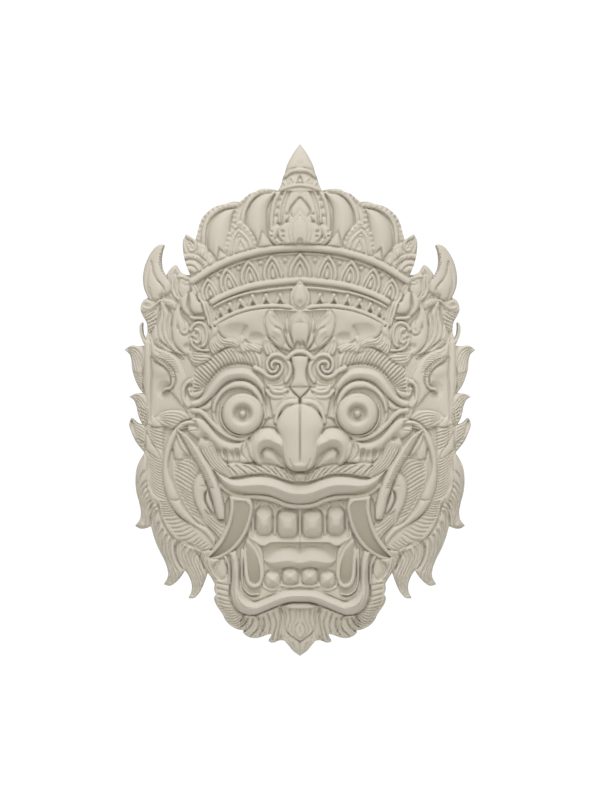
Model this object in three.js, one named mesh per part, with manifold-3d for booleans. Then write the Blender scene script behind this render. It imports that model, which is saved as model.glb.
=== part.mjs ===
// A guardian-demon mask carved as one bas-relief for a wall: flat back, crown, face, flame ears and mane.
// Millimetres. X runs across the face, Z up, and the face looks towards -Y. The back lies in the plane Y = 0.
// A place on the face is written [u, z]: u is its distance from the middle line, and both halves are alike.
import * as THREE from "three";
import { mergeVertices } from "three/addons/utils/BufferGeometryUtils.js";
import Module from "manifold-3d";

const wasm = await Module();
wasm.setup();

// Driving sizes
const HEIGHT = 514; // finial tip to beard tip
const BED_EDGE = 10; // thickness that the relief ground would have at the rim of its swell
const BED_CREST = 46; // thickness of the relief ground at the middle of the face
const BED_HALF_WIDTH = 190; // where the swell of the ground runs out, sideways
const BED_HALF_HEIGHT = 272; // and up and down
const BED_CENTRE_Z = -5;
const RELIEF = 0.8; // how far the forms stand out of the ground, against the heights that they are given
const SEAT = 7; // how far a raised form reaches down into the ground
const THINNING = 0.35; // how far joined surfaces may move when small triangles are merged
const THINNING_PASSES = 4;
const TOP_Z = HEIGHT / 2;
const BOTTOM_Z = -HEIGHT / 2;

// Depth of the relief ground in front of the back plane.
function bed(u, z) {
  const across = u / BED_HALF_WIDTH;
  const up = (z - BED_CENTRE_Z) / BED_HALF_HEIGHT;
  return BED_EDGE + (BED_CREST - BED_EDGE) * Math.sqrt(Math.max(0, 1 - across * across - up * up));
}

function surfaceOf(solid) {
  const { vertProperties, triVerts } = solid.getMesh();
  const surface = new THREE.BufferGeometry();
  surface.setAttribute("position", new THREE.BufferAttribute(vertProperties, 3));
  return surface.setIndex(new THREE.BufferAttribute(triVerts, 1));
}

function cornersOf(surface) {
  const at = surface.attributes.position;
  return Array.from({ length: at.count }, (_, i) => new THREE.Vector3().fromBufferAttribute(at, i));
}

function facesOf({ index }) {
  return Array.from({ length: index.count / 3 }, (_, f) => [0, 1, 2].map((k) => index.getX(3 * f + k)));
}

// Six times the volume between a face and the origin, negative where the face looks towards it.
function signedVolume(corners, [a, b, c]) {
  return corners[a].dot(corners[b].clone().cross(corners[c]));
}

// A manifold solid from a closed surface, turned so that its faces point out.
function geometrySolid(surface) {
  surface.deleteAttribute("normal");
  surface.deleteAttribute("uv");
  const merged = mergeVertices(surface, 1e-3);
  const corners = cornersOf(merged);
  const faces = facesOf(merged).filter((face) => new Set(face).size === 3);
  const volume = faces.reduce((sum, face) => sum + signedVolume(corners, face), 0);
  const triVerts = new Uint32Array(faces.flatMap(([a, b, c]) => (volume < 0 ? [a, c, b] : [a, b, c])));
  const vertProperties = new Float32Array(merged.attributes.position.array);
  return new wasm.Manifold(new wasm.Mesh({ numProp: 3, vertProperties, triVerts }));
}

function closedSolid(points, triangles) {
  return geometrySolid(new THREE.BufferGeometry().setFromPoints(points).setIndex(triangles));
}

// Evenly spaced points on a smooth curve through the given ones.
function smooth(through, steps) {
  const points = through.map(([u, z]) => new THREE.Vector3(u, 0, z));
  const curve = new THREE.CatmullRomCurve3(points, false, "centripetal");
  return curve.getSpacedPoints(steps).map((p) => [p.x, p.z]);
}

// A raised form between two edge curves. It follows the ground, stands `lift` above it at its edges and
// swells by `rise` in the middle, less where the form is narrow. Through forms reach the back plane, and
// keeled ones end below in one line.
function loft(edgeA, edgeB, { rise, lift = 0, steps = 8, across = 4, through = false, keel = false, side = 1 }) {
  const a = smooth(edgeA, steps);
  const b = smooth(edgeB, steps);
  const widths = a.map(([u, z], i) => Math.hypot(b[i][0] - u, b[i][1] - z));
  const widest = Math.max(...widths);
  const liftAt = (u, z) => RELIEF * (typeof lift === "function" ? lift(u, z) : lift);
  const ring = across + (keel ? 2 : 3);
  const points = [];
  a.forEach(([ua, za], i) => {
    const [ub, zb] = b[i];
    const swell = RELIEF * rise * Math.sqrt(widths[i] / widest);
    for (let j = 0; j <= across; j++) {
      const t = j / across;
      const u = ua + (ub - ua) * t;
      const z = za + (zb - za) * t;
      const depth = bed(u, z) + liftAt(u, z) + swell * Math.sqrt(1 - (2 * t - 1) ** 2);
      points.push(new THREE.Vector3(side * u, -depth, z));
    }
    const seats = keel ? [[(ua + ub) / 2, (za + zb) / 2]] : [[ub, zb], [ua, za]];
    for (const [u, z] of seats) {
      const depth = through ? 0 : bed(u, z) + Math.min(0, liftAt(u, z)) - SEAT;
      points.push(new THREE.Vector3(side * u, -depth, z));
    }
  });
  const triangles = [];
  for (let i = 0; i < steps; i++) {
    for (let j = 0; j < ring; j++) {
      const [p, q] = [i * ring + j, i * ring + ((j + 1) % ring)];
      triangles.push(p, q, q + ring, p, q + ring, p + ring);
    }
  }
  const last = steps * ring;
  for (let j = 1; j < ring - 1; j++) {
    triangles.push(0, j + 1, j);
    triangles.push(last, last + j, last + j + 1);
  }
  return closedSolid(points, triangles);
}

// The same form on both halves of the face.
function pair(edgeA, edgeB, options) {
  return [1, -1].map((side) => loft(edgeA, edgeB, { ...options, side }));
}

// One form across the middle line, from its one edge and that edge mirrored.
function middle(edge, options) {
  return [loft(edge, edge.map(([u, z]) => [-u, z]), options)];
}

// The two edges of a bead that follows a path, tapering from one width to another.
function beadEdges(path, startWidth, endWidth, steps) {
  const line = smooth(path, steps);
  return [-0.5, 0.5].map((half) =>
    line.map(([u, z], i) => {
      const [before, after] = [line[Math.max(0, i - 1)], line[Math.min(steps, i + 1)]];
      const [du, dz] = [after[0] - before[0], after[1] - before[1]];
      const width = startWidth + ((endWidth - startWidth) * i) / steps;
      const offset = (half * width) / Math.hypot(du, dz);
      return [u - dz * offset, z + du * offset];
    }),
  );
}

function bead(path, startWidth, endWidth, options) {
  const { steps = 12 } = options;
  const [edgeA, edgeB] = beadEdges(path, startWidth, endWidth, steps);
  return pair(edgeA, edgeB, { across: 2, keel: true, ...options, steps });
}

// A path mirrored onto the other half and joined there, for beads that cross the middle line.
function acrossMiddle(half) {
  return [...half.slice(1).reverse().map(([u, z]) => [-u, z]), ...half];
}

function middleBead(half, width, options) {
  const { steps = 14 } = options;
  const [edgeA, edgeB] = beadEdges(acrossMiddle(half), width, width, steps);
  return [loft(edgeA, edgeB, { across: 2, keel: true, ...options, steps })];
}

// A point of the diadem by its distance from the diadem's centre and its angle from the middle line.
const DIADEM_CENTRE_Z = -68;
function diademPoint(radius, degrees) {
  const angle = THREE.MathUtils.degToRad(degrees);
  return [radius * Math.sin(angle), DIADEM_CENTRE_Z + radius * Math.cos(angle)];
}

function diademArc(radius, halfSpan) {
  return [0, 0.25, 0.5, 0.75, 1].map((share) => diademPoint(radius, share * halfSpan));
}

// The trunk of the relief, which everything else stands on.
const TRUNK_EDGE = [
  [0.5, 216], [40, 205], [88, 182], [104, 150], [116, 112], [152, 92], [155, 50],
  [154, 0], [151, -50], [147, -92], [128, -140], [92, -172], [80, -205], [46, -228], [0.5, -246],
];
function trunk() {
  return middle(TRUNK_EDGE, { rise: 0, steps: 15, across: 6, through: true });
}

// Crown: swelling panels, leaves standing on the diadem, and the finial.
function crownPanels() {
  const centre = [[9, 213], [15, 197], [18, 178], [19, 150]];
  const innerA = [[21, 210], [29, 201], [33, 185], [33, 168], [31, 148]];
  const innerB = [[23, 211], [40, 212], [52, 206.5], [60, 196], [63, 180], [62, 162], [58, 143]];
  const outerA = [[60, 198], [66, 190], [69, 175], [71, 158], [74, 138]];
  const outerB = [[61.5, 199.5], [78, 196.7], [92.5, 189], [101, 176.5], [104.8, 164], [104, 148], [98, 130]];
  return [
    ...middle(centre, { rise: 7, lift: 4, steps: 4, across: 2 }),
    ...pair(innerA, innerB, { rise: 10, through: true, steps: 7 }),
    ...pair(outerA, outerB, { rise: 8, through: true, steps: 7, across: 3 }),
  ];
}

function crownLeaves() {
  const great = [[0, 203.5], [8, 194], [14, 182], [17, 167], [14, 153]];
  const drop = [[0, 189], [7, 179], [9.5, 169], [8.5, 159], [5, 153]];
  const sideA = [[61, 179.5], [53, 171], [47, 161], [46, 149]];
  const sideB = [[61, 179.5], [68, 170], [72, 158], [70, 143]];
  const spurs = [
    [[[38, 169], [31, 159], [24, 154]], [[38, 169], [41, 158], [43, 151]]],
    [[[81, 152], [75, 146], [70, 142]], [[81, 152], [84, 144], [85, 137]]],
  ];
  const endA = [[114, 167], [118.5, 158], [117, 147], [114, 134], [109, 122]];
  const endB = [[114, 167], [105.5, 160], [96, 152], [88, 147], [86, 136]];
  return [
    ...middle(great, { rise: 4, lift: 9, across: 2, steps: 4 }),
    ...middle(drop, { rise: 5, lift: 12, across: 2, steps: 4 }),
    ...pair(sideA, sideB, { rise: 5, lift: 7, across: 2, steps: 4 }),
    ...spurs.flatMap(([a, b]) => pair(a, b, { rise: 3, lift: 5, across: 2, steps: 3 })),
    ...pair(endA, endB, { rise: 6, lift: 1, through: true, steps: 4, across: 2 }),
  ];
}

const FINIAL_SWELL = 15;
function finial() {
  const swell = (half) => (u) => FINIAL_SWELL * Math.sqrt(Math.max(0, 1 - (u / half) ** 2));
  const bulb = [[0, TOP_Z], [5.5, 251.5], [10.5, 243], [14, 235.5], [15.7, 228]];
  const drum = [[15, 228.5], [18, 219.5], [22, 209.5]];
  return [
    ...middle(bulb, { rise: FINIAL_SWELL, lift: 4, through: true, steps: 5, across: 4 }),
    ...middle(drum, { rise: FINIAL_SWELL, through: true, steps: 2, across: 4 }),
    ...middleBead([[0, 229.5], [8, 228], [16, 223.5]], 4.5, { rise: 3, lift: swell(17), steps: 6 }),
    ...middleBead([[0, 214.5], [10, 213.5], [20, 210.5]], 4, { rise: 3, lift: swell(21), steps: 6 }),
  ];
}

// Diadem: three rolls, a row of leaves, a row of knobs and the drop in the middle.
const LEAF_COUNT = 4; // on each side of the middle leaf
const KNOB_COUNT = 6; // on each side of the drop
function diadem() {
  const upperRoll = middleBead(diademArc(219, 29), 6, { rise: 6, lift: 3 });
  const middleRoll = middleBead(diademArc(187, 27.5), 7, { rise: 7, lift: 3 });
  const lowerHalf = [[0, 93.5], [20, 93.2], [40, 92], [60, 88.3], [75, 82.5], [86, 76.5]];
  const lowerRoll = middleBead(lowerHalf, 4.5, { rise: 4, lift: 2 });
  const dropEdge = [[0, 119.5], [6, 113], [11, 104], [9.5, 95], [3, 89.5]];
  const solids = [...upperRoll, ...middleRoll, ...lowerRoll];
  solids.push(...middle(dropEdge, { rise: 7, lift: 7, steps: 4, across: 2 }));
  for (let i = 0; i <= LEAF_COUNT; i++) {
    const at = 32 * Math.sin(THREE.MathUtils.degToRad(13.5 * i));
    const half = 3.2 * Math.cos(THREE.MathUtils.degToRad(12 * i));
    const leafSide = (sign) => [
      diademPoint(216, at),
      diademPoint(207, at + 0.65 * sign * half),
      diademPoint(191, at + sign * half),
    ];
    const options = { rise: 4, lift: 1, steps: 2, across: 2, keel: true };
    solids.push(...(i ? pair(leafSide(-1), leafSide(1), options) : middle(leafSide(1), options)));
  }
  for (let i = 1; i <= KNOB_COUNT; i++) {
    const at = 33 * Math.sin(THREE.MathUtils.degToRad(7.4 * (i + 0.4)));
    const half = 2 * Math.cos(THREE.MathUtils.degToRad(7.4 * i));
    const knobSide = (sign) => [
      diademPoint(175.5, at),
      diademPoint(170, at + sign * half * 0.9),
      diademPoint(164, at + sign * half),
    ];
    solids.push(...pair(knobSide(-1), knobSide(1), { rise: 4, lift: 1, steps: 1, across: 2, keel: true }));
  }
  return solids;
}

// Forehead: the palmette over the nose, the swollen brow skin and the tufts beside it.
function forehead() {
  const centre = [[0, 90], [5, 83], [9, 74], [8, 63], [5, 52]];
  const sideA = [[30, 90], [35, 80], [34.5, 70], [29, 61], [20, 53]];
  const sideB = [[30, 90], [25, 82], [18, 73], [15, 62], [12, 53]];
  const lowA = [[33, 64], [37, 57], [36, 49], [29, 46]];
  const lowB = [[33, 64], [25, 58], [17, 51], [15, 46]];
  const skinA = [[84, 72], [66, 66], [48, 67], [36, 72]];
  const skinB = [[80, 80], [64, 86], [48, 88], [36, 88]];
  const tuftA = [[80, 77], [79, 68], [70, 61], [60, 53]];
  const tuftB = [[84, 77], [91, 64], [90, 52], [84, 44]];
  const hookA = [[58, 65.5], [52, 58], [42, 53], [36, 44]];
  const hookB = [[58, 65.5], [60, 56], [56, 49], [44, 46]];
  return [
    ...pair(skinA, skinB, { rise: 6, steps: 4, across: 3, keel: true }),
    ...middle(centre, { rise: 6, lift: 5, steps: 4, across: 2 }),
    ...pair(sideA, sideB, { rise: 6, lift: 4, steps: 4, across: 2 }),
    ...pair(lowA, lowB, { rise: 4, lift: 3, steps: 3, across: 2 }),
    ...pair(tuftA, tuftB, { rise: 5, lift: 1, steps: 4, across: 2, keel: true }),
    ...pair(hookA, hookB, { rise: 5, lift: 1, steps: 4, across: 2, keel: true }),
  ];
}

// Brow: the comb of hair, the thick brow roll, the curl beside the nose and the band that runs round it.
const CURL_CENTRE = [25, 33.5];
const CURL_OUTER = 11.8;
const CURL_SHRINK = 0.0133; // millimetres of radius for each degree
const CURL_TURN = 560; // degrees
function curlPath() {
  const points = [];
  for (let turn = 0; turn <= CURL_TURN; turn += 35) {
    const radius = CURL_OUTER + 2.5 * Math.max(0, 1 - turn / 60) - CURL_SHRINK * turn;
    const angle = THREE.MathUtils.degToRad(50 + turn);
    points.push([CURL_CENTRE[0] - radius * Math.cos(angle), CURL_CENTRE[1] + radius * Math.sin(angle)]);
  }
  return points;
}

function brow() {
  const hairA = [[108, 28], [97, 36], [86, 44], [75, 50], [64, 50], [50, 47], [39, 41]];
  const hairB = [[105, 4], [93, 12], [86, 21], [76, 30], [62, 34], [50, 31], [39, 25]];
  const rollA = [[109, -3], [98, 4], [92, 12], [86, 21], [79, 28], [70, 32.5], [60, 34], [50, 31], [42, 26], [33, 20]];
  const rollB = [[109, -8], [99, -8], [94, -4], [88, 1], [82, 8], [76, 14], [60, 20.5], [50, 18], [42, 12], [32, 10]];
  return [
    ...pair(hairA, hairB, { rise: 3, lift: 2, steps: 6, across: 2, keel: true }),
    ...pair(rollA, rollB, { rise: 9, lift: 3, steps: 11, across: 3, keel: true }),
    ...bead(curlPath(), 6, 4, { rise: 6, lift: 5, steps: 18 }),
    ...bead([[13, 43], [10, 34], [10, 25], [15, 17], [22, 12.5], [30, 13.5]], 6, 4, { rise: 5, lift: 5, steps: 6 }),
    ...middleBead([[0, 48], [6, 47], [13, 42.5]], 6, { rise: 6, lift: 6, steps: 6 }),
  ];
}

// Eye: a turned bulb with a raised ring and a pupil, between two lids.
const EYE = [59, -13];
const EYE_SEGMENTS = 14;
const EYE_PROFILE = [[0, 17], [6, 14], [8.5, 9.5], [13, 14], [18.5, 11.5], [22, 6], [25, 0]];
function eyes() {
  const upperA = [[90, 0], [82, 8], [76, 14], [68, 19], [60, 20.5], [50, 18], [42, 11], [36, 1], [29, -17]];
  const upperB = [[86, -7], [81, 0], [75, 5], [68, 8.5], [60, 10], [50, 8], [43.5, 1], [39, -8], [36, -18]];
  const lowerLid = [[110, -10], [103, -12], [96, -15], [89, -22], [83, -30], [76, -36], [66, -39.5], [57, -40], [47, -37]];
  const cheekA = [[98, -19], [90, -32], [78, -43], [52, -42]];
  const cheekB = [[99, -34], [88, -48], [72, -55], [52, -52]];
  const floor = bed(...EYE) + 2;
  const profile = EYE_PROFILE.map(([radius, height]) => new THREE.Vector2(radius, floor + RELIEF * height));
  const outline = [new THREE.Vector2(0, floor - SEAT), new THREE.Vector2(25, floor - SEAT), ...profile.reverse()];
  const bulbs = [1, -1].map((side) => {
    const lathe = new THREE.LatheGeometry(outline, EYE_SEGMENTS);
    lathe.rotateX(Math.PI);
    lathe.translate(side * EYE[0], 0, EYE[1]);
    return geometrySolid(lathe);
  });
  return [
    ...bulbs,
    ...pair(upperA, upperB, { rise: 7, lift: 5, steps: 10, across: 3 }),
    ...bead(lowerLid, 6, 7, { rise: 6, lift: 3, steps: 10 }),
    ...pair(cheekA, cheekB, { rise: 5, steps: 4, across: 2, keel: true }),
  ];
}

// Nose: the shield on its root, the arched ridge, the wings and the nostrils.
function nose() {
  const shield = [[9, 41], [6, 33], [5.5, 25], [8, 16], [10, 11]];
  const ridge = [[4, 1], [14, -2], [20, -9], [23, -20], [21, -34], [16, -50], [12, -64], [3, -71.5]];
  const wingA = [[24, -28.5], [38, -29.5], [48, -36], [51.5, -48], [48, -59], [36, -63]];
  const wingB = [[22, -30], [14, -38], [10, -46], [10, -54], [13, -62], [20, -66]];
  const ridgeLift = (u, z) => THREE.MathUtils.mapLinear(z, 0, -68, 8, 17) - 4 * (z < -66 ? 1 : 0);
  return [
    ...middle(shield, { rise: 3, lift: 7, steps: 5 }),
    ...middle(ridge, { rise: 7, lift: ridgeLift, steps: 7, across: 4 }),
    ...pair(wingA, wingB, { rise: 13, lift: 4, steps: 6 }),
  ];
}

function nostrils() {
  const outer = [[37.5, -59], [36.5, -52], [31, -49.5], [25, -52], [18, -61]];
  const inner = [[36, -60], [33, -62], [29, -62.5], [25, -63.5], [19, -64]];
  return pair(outer, inner, { rise: 40, lift: 6, steps: 3, across: 2 });
}

// Mouth: moustache, lips, teeth, tongue, the great tusks and the lower fangs in their sheaths.
const UPPER_TEETH = [
  { u: 12.8, top: -110, bottom: -139, half: 11 },
  { u: 35.6, top: -108, bottom: -136, half: 9.6 },
];
const LOWER_TEETH = [
  { u: 9.8, top: -168, bottom: -185.5, half: 8.8 },
  { u: 28, top: -171.5, bottom: -188.5, half: 8 },
];
function tooth({ u, top, bottom, half }) {
  const cut = half * 0.35;
  const sideOf = (sign) => [
    [u + sign * (half - cut), top],
    [u + sign * half, top - cut],
    [u + sign * half, bottom + cut],
    [u + sign * (half - cut), bottom],
  ];
  return pair(sideOf(-1), sideOf(1), { rise: 5, lift: 1, steps: 3, across: 2 });
}

// The open part of the mouth, to be taken out of the trunk down to its floor.
const MOUTH_FLOOR = 35;
function mouthHollow() {
  const half = smooth([[0, -143], [40, -145], [42, -158], [40, -178], [34, -190], [0, -190]], 12);
  const outline = [...half, ...half.slice(1, -1).reverse().map(([u, z]) => [-u, z])];
  const shape = new THREE.Shape(outline.map(([u, z]) => new THREE.Vector2(u, z)));
  const cutter = new THREE.ExtrudeGeometry(shape, { depth: 60, bevelEnabled: false });
  cutter.rotateX(Math.PI / 2);
  cutter.translate(0, -MOUTH_FLOOR, 0);
  return geometrySolid(cutter);
}

function mouth() {
  const moustacheA = [[86, -64], [70, -66], [52, -64.5], [36, -66], [18, -70], [0, -73]];
  const moustacheB = [[87, -73], [72, -78.5], [60, -78.5], [38, -75.5], [20, -80], [0, -84]];
  const lipA = [[86, -73], [76, -78], [64, -79], [50, -76.5], [38, -75.5], [22, -79.5], [10, -84], [0, -85]];
  const lipB = [[78, -88], [70, -93], [60, -95], [38, -95], [22, -100.5], [10, -104], [0, -104.5]];
  const gumA = [[70, -94], [56, -95], [38, -96], [20, -102], [0, -105]];
  const gumB = [[50, -118], [48, -138], [36, -142], [18, -142], [0, -142]];
  const lowGumA = [[38, -170], [28, -176], [14, -180], [0, -180]];
  const lowGumB = [[44, -196], [30, -192], [14, -189], [0, -188]];
  const tongueA = [[36, -161], [26, -150], [12, -146.5], [0, -150]];
  const tongueB = [[36, -163], [26, -168], [12, -169], [0, -169]];
  const tuskA = [[67, -97], [67, -110], [70, -125], [76, -139], [84, -150], [93, -159.5]];
  const tuskB = [[50, -103], [47.5, -113], [50, -127], [57, -139], [68, -150], [93, -159.5]];
  const fangA = [[54, -139], [54, -155], [52, -172], [49, -182], [45, -185.5]];
  const fangB = [[54, -139], [46, -150], [41, -163], [40, -176], [45, -185.5]];
  const lipPath = [[0, -196], [16, -197.5], [32, -203], [46, -208], [58, -203], [65, -190], [66.5, -174], [69, -158]];
  const sheathPath = [[58, -142], [57, -160], [56, -176], [52, -186], [46, -189.5], [39, -186], [37, -174]];
  const tuskLift = (u, z) => THREE.MathUtils.mapLinear(z, -97, -160, 9, 6);
  return [
    ...pair(gumA, gumB, { rise: 1, lift: -2, steps: 4, across: 2 }),
    ...pair(moustacheA, moustacheB, { rise: 4, lift: 5, steps: 7, across: 2 }),
    ...pair(lipA, lipB, { rise: 9, lift: 6, steps: 9 }),
    ...pair(lowGumA, lowGumB, { rise: 2, lift: -5, steps: 3, across: 2 }),
    ...pair(tongueA, tongueB, { rise: 10, lift: -9, steps: 4, across: 2 }),
    ...[...UPPER_TEETH, ...LOWER_TEETH].flatMap(tooth),
    ...pair(tuskA, tuskB, { rise: 2, lift: tuskLift, steps: 6, across: 2 }),
    ...bead(sheathPath, 5, 5, { rise: 4, lift: 1, steps: 9 }),
    ...pair(fangA, fangB, { rise: 2, lift: 2, steps: 4, across: 2 }),
    ...bead(lipPath, 12, 8, { rise: 8, lift: 2, steps: 12, across: 3 }),
  ];
}

// Cheeks: the ring of the jaw, the long strap across it and the small horn behind it.
function cheeks() {
  const ringPath = [[110, -23], [120, -28], [129, -41], [133.5, -58], [133.5, -76], [128, -97]];
  const jawPath = [[126, -101], [115, -112], [104, -123], [90, -134], [80, -146]];
  const strapA = [[120, -31], [113, -43], [106, -57], [98, -72], [90, -92], [85, -112]];
  const strapB = [[120, -31], [108, -40], [98, -51], [88, -68], [79, -88], [72, -118]];
  const hornA = [[98, -71], [104.5, -78], [107, -92], [104, -107], [93, -126]];
  const hornB = [[97, -72], [97, -82], [95, -96], [90, -110], [80, -124]];
  const boneA = [[124, -30], [128, -38], [129, -50], [125, -58]];
  const boneB = [[121, -31], [116, -42], [110, -52], [107, -58]];
  return [
    ...bead(ringPath, 5, 9, { rise: 5, lift: 1, steps: 7 }),
    ...bead(jawPath, 6, 12, { rise: 5, lift: 1, steps: 4 }),
    ...pair(boneA, boneB, { rise: 5, steps: 3, across: 2, keel: true }),
    ...pair(hornA, hornB, { rise: 4, lift: 2, steps: 5, across: 2 }),
    ...pair(strapA, strapB, { rise: 7, lift: 5, steps: 6, across: 2 }),
  ];
}

// Ears with the flames over them, and the curls between the diadem and the ear.
function ears() {
  const earA = [[147, 41], [151, 28], [150, 12], [144, -6]];
  const earB = [[147, 41], [136, 33], [129, 22], [128, 6]];
  const bandA = [[151, 62], [140, 51], [127, 47], [118, 36], [113, 20], [116, -8]];
  const bandB = [[150, 52], [145, 40], [135, 32], [128, 22], [126, 10], [128, -8]];
  const stemA = [[153, 76], [156, 52], [157, 25], [156, 4], [153, -20]];
  const stemB = [[147, 76], [148, 50], [147, 25], [146, 4], [146, -20]];
  const plumeA = [[139, 98], [145, 80], [147, 66], [141, 52]];
  const plumeB = [[136, 98], [129, 82], [128, 66], [117, 46]];
  const shellA = [[113, 107], [125, 92], [129, 76], [125, 60], [114, 46]];
  const shellB = [[111, 109], [99, 102], [89, 82], [90, 62], [98, 44]];
  return [
    ...pair(shellA, shellB, { rise: 5, lift: 2, steps: 5, across: 3, keel: true }),
    ...pair(plumeA, plumeB, { rise: 5, lift: 3, steps: 4, across: 2, keel: true }),
    ...pair(bandA, bandB, { rise: 5, lift: 3, steps: 6, across: 2, keel: true }),
    ...pair(earA, earB, { rise: 3, lift: 1, steps: 4, across: 2, keel: true }),
    ...pair(stemA, stemB, { rise: 4, lift: 3, steps: 4, across: 2, through: true }),
    ...bead(earCurlPath(), 5, 3, { rise: 4, lift: 6, steps: 11 }),
  ];
}

const EAR_CURL = { centre: [101, 63], outer: 12, start: 100, turn: 420 };
function earCurlPath() {
  const { centre, outer, start, turn } = EAR_CURL;
  const points = [];
  for (let at = 0; at <= turn; at += 35) {
    const radius = outer * (1 - (0.8 * at) / turn);
    const angle = THREE.MathUtils.degToRad(start - at);
    points.push([centre[0] - radius * Math.cos(angle), centre[1] + 1.2 * radius * Math.sin(angle)]);
  }
  return points;
}

// Flames and locks that make the outline. Each is given by its two edges, from the root to the tip.
const OUTLINE_LOCKS = [
  // the horn and the two flames beside it
  [[[146, 84], [153.5, 103], [158, 118], [157.5, 132], [150.5, 149], [144, 155.5], [136.5, 157.5]],
   [[122, 96], [133, 120], [138.7, 134], [139, 147], [136.5, 157.5]]],
  [[[136, 104], [135.5, 124], [131, 131.5], [124.5, 136.5]], [[106, 100], [110, 124.5], [119.5, 128.5], [124.5, 136.5]]],
  [[[146, 104], [157, 100.5], [160, 92], [157, 83], [153, 74]], [[142, 104], [143, 96], [143, 88], [143, 82], [144, 72]]],
  // the locks beside the ear, pointing outwards
  [[[146, 58], [161, 55], [171, 55.5], [176.5, 50.5]], [[142, 4], [161, 10], [168.5, 28], [171, 43], [176.5, 50.5]]],
  [[[144, 16], [158, 7.5], [167, 7.3], [172, 3]], [[140, -27], [158, -24], [164, -8], [166.5, -1], [172, 3]]],
  [[[144, -14], [157, -25.5], [164.5, -22], [170, -17]], [[138, -54], [156, -52], [167.5, -38], [172, -25], [170, -17]]],
  // the long locks of the mane
  [[[148, -44], [160, -57], [165.5, -75], [165.5, -92], [161, -108], [160.3, -117], [161.5, -121], [166.5, -126.5]],
   [[132, -58], [140, -85], [143, -108], [147, -123], [150, -129], [156, -131.5], [162, -130.5], [166.5, -126.5]]],
  [[[150, -104], [150, -129], [142.5, -152], [134, -168], [132.5, -178], [137.3, -186.5]],
   [[124, -98], [118, -135], [114.5, -162], [118, -177], [124.5, -186], [131.5, -189.5], [137.3, -186.5]]],
  [[[126, -124], [121, -155], [113.5, -172], [108.5, -184], [109, -193], [112.7, -199.7]],
   [[96, -126], [90, -152], [92, -173], [95.5, -186], [100.5, -197], [106.5, -202], [112.7, -199.7]]],
];
const SPRIG = [[154.5, 55], [158.5, 64], [161, 71], [159.5, 79]];
function mane() {
  const locks = OUTLINE_LOCKS.flatMap(([a, b]) => pair(a, b, { rise: 5, through: true, steps: 8, across: 2 }));
  const sprig = bead(SPRIG, 5, 3, { rise: 2, lift: -8, through: true, keel: false, steps: 4 });
  return [...locks, ...sprig];
}

// Beard: the tufted jaw, its three points and the leaf under the lip.
function beard() {
  const jawA = [[92, -170], [87, -182], [86.5, -201], [80, -215], [70, -228], [56, -233], [40, -233]];
  const jawB = [[74, -158], [71, -178], [70, -196], [63, -208], [52, -214], [40, -214], [30, -210]];
  const tipA = [[70, -222], [62, -231], [57.5, -233.5]];
  const tipB = [[22, -222], [29, -235], [41, -240], [51, -239.5], [57.5, -233.5]];
  const pointA = [[34, -222], [28, -235], [32, -243.5]];
  const pointB = [[4, -222], [14, -242], [23, -243.5], [32, -243.5]];
  const tuft = [[20, -212], [18, -238], [11, -248], [5.5, -253.5], [0, BOTTOM_Z]];
  const leaf = [[0, -208], [7, -222], [8, -231], [0, -241]];
  return [
    ...pair(jawA, jawB, { rise: 4, lift: 1, through: true, steps: 7, across: 2 }),
    ...pair(tipA, tipB, { rise: 4, lift: 2, through: true, steps: 4, across: 2 }),
    ...pair(pointA, pointB, { rise: 3, lift: 3, through: true, steps: 3, across: 2 }),
    ...middle(tuft, { rise: 6, lift: 4, through: true, steps: 5, across: 4 }),
    ...middle(leaf, { rise: 3, lift: 10, steps: 3, across: 2 }),
  ];
}

function union(solids) {
  return solids.reduce((whole, solid) => whole.add(solid));
}

// Half of the carving, cut at the middle line: what lies in a tall box on the +X side.
function rightHalf(solid) {
  const box = new THREE.BoxGeometry(HEIGHT, HEIGHT, 2 * HEIGHT);
  box.translate(HEIGHT / 2, 0, 0);
  return solid.intersect(geometrySolid(box));
}

// The solid without the closed hollows that forms leave between them. The surface of a hollow faces inwards,
// so the volume that it encloses counts as negative.
function filled(solid) {
  const surface = surfaceOf(solid);
  const shellOf = Array.from({ length: surface.attributes.position.count }, (_, i) => i);
  const root = (v) => {
    while (shellOf[v] !== v) v = shellOf[v] = shellOf[shellOf[v]];
    return v;
  };
  const faces = facesOf(surface);
  for (const [a, b, c] of faces) shellOf[root(a)] = shellOf[root(b)] = root(c);
  const corners = cornersOf(surface);
  const volumes = new Map();
  for (const [a, b, c] of faces) {
    volumes.set(root(a), (volumes.get(root(a)) ?? 0) + signedVolume(corners, [a, b, c]));
  }
  return geometrySolid(surface.setIndex(faces.filter(([a]) => volumes.get(root(a)) > 0).flat()));
}

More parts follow.
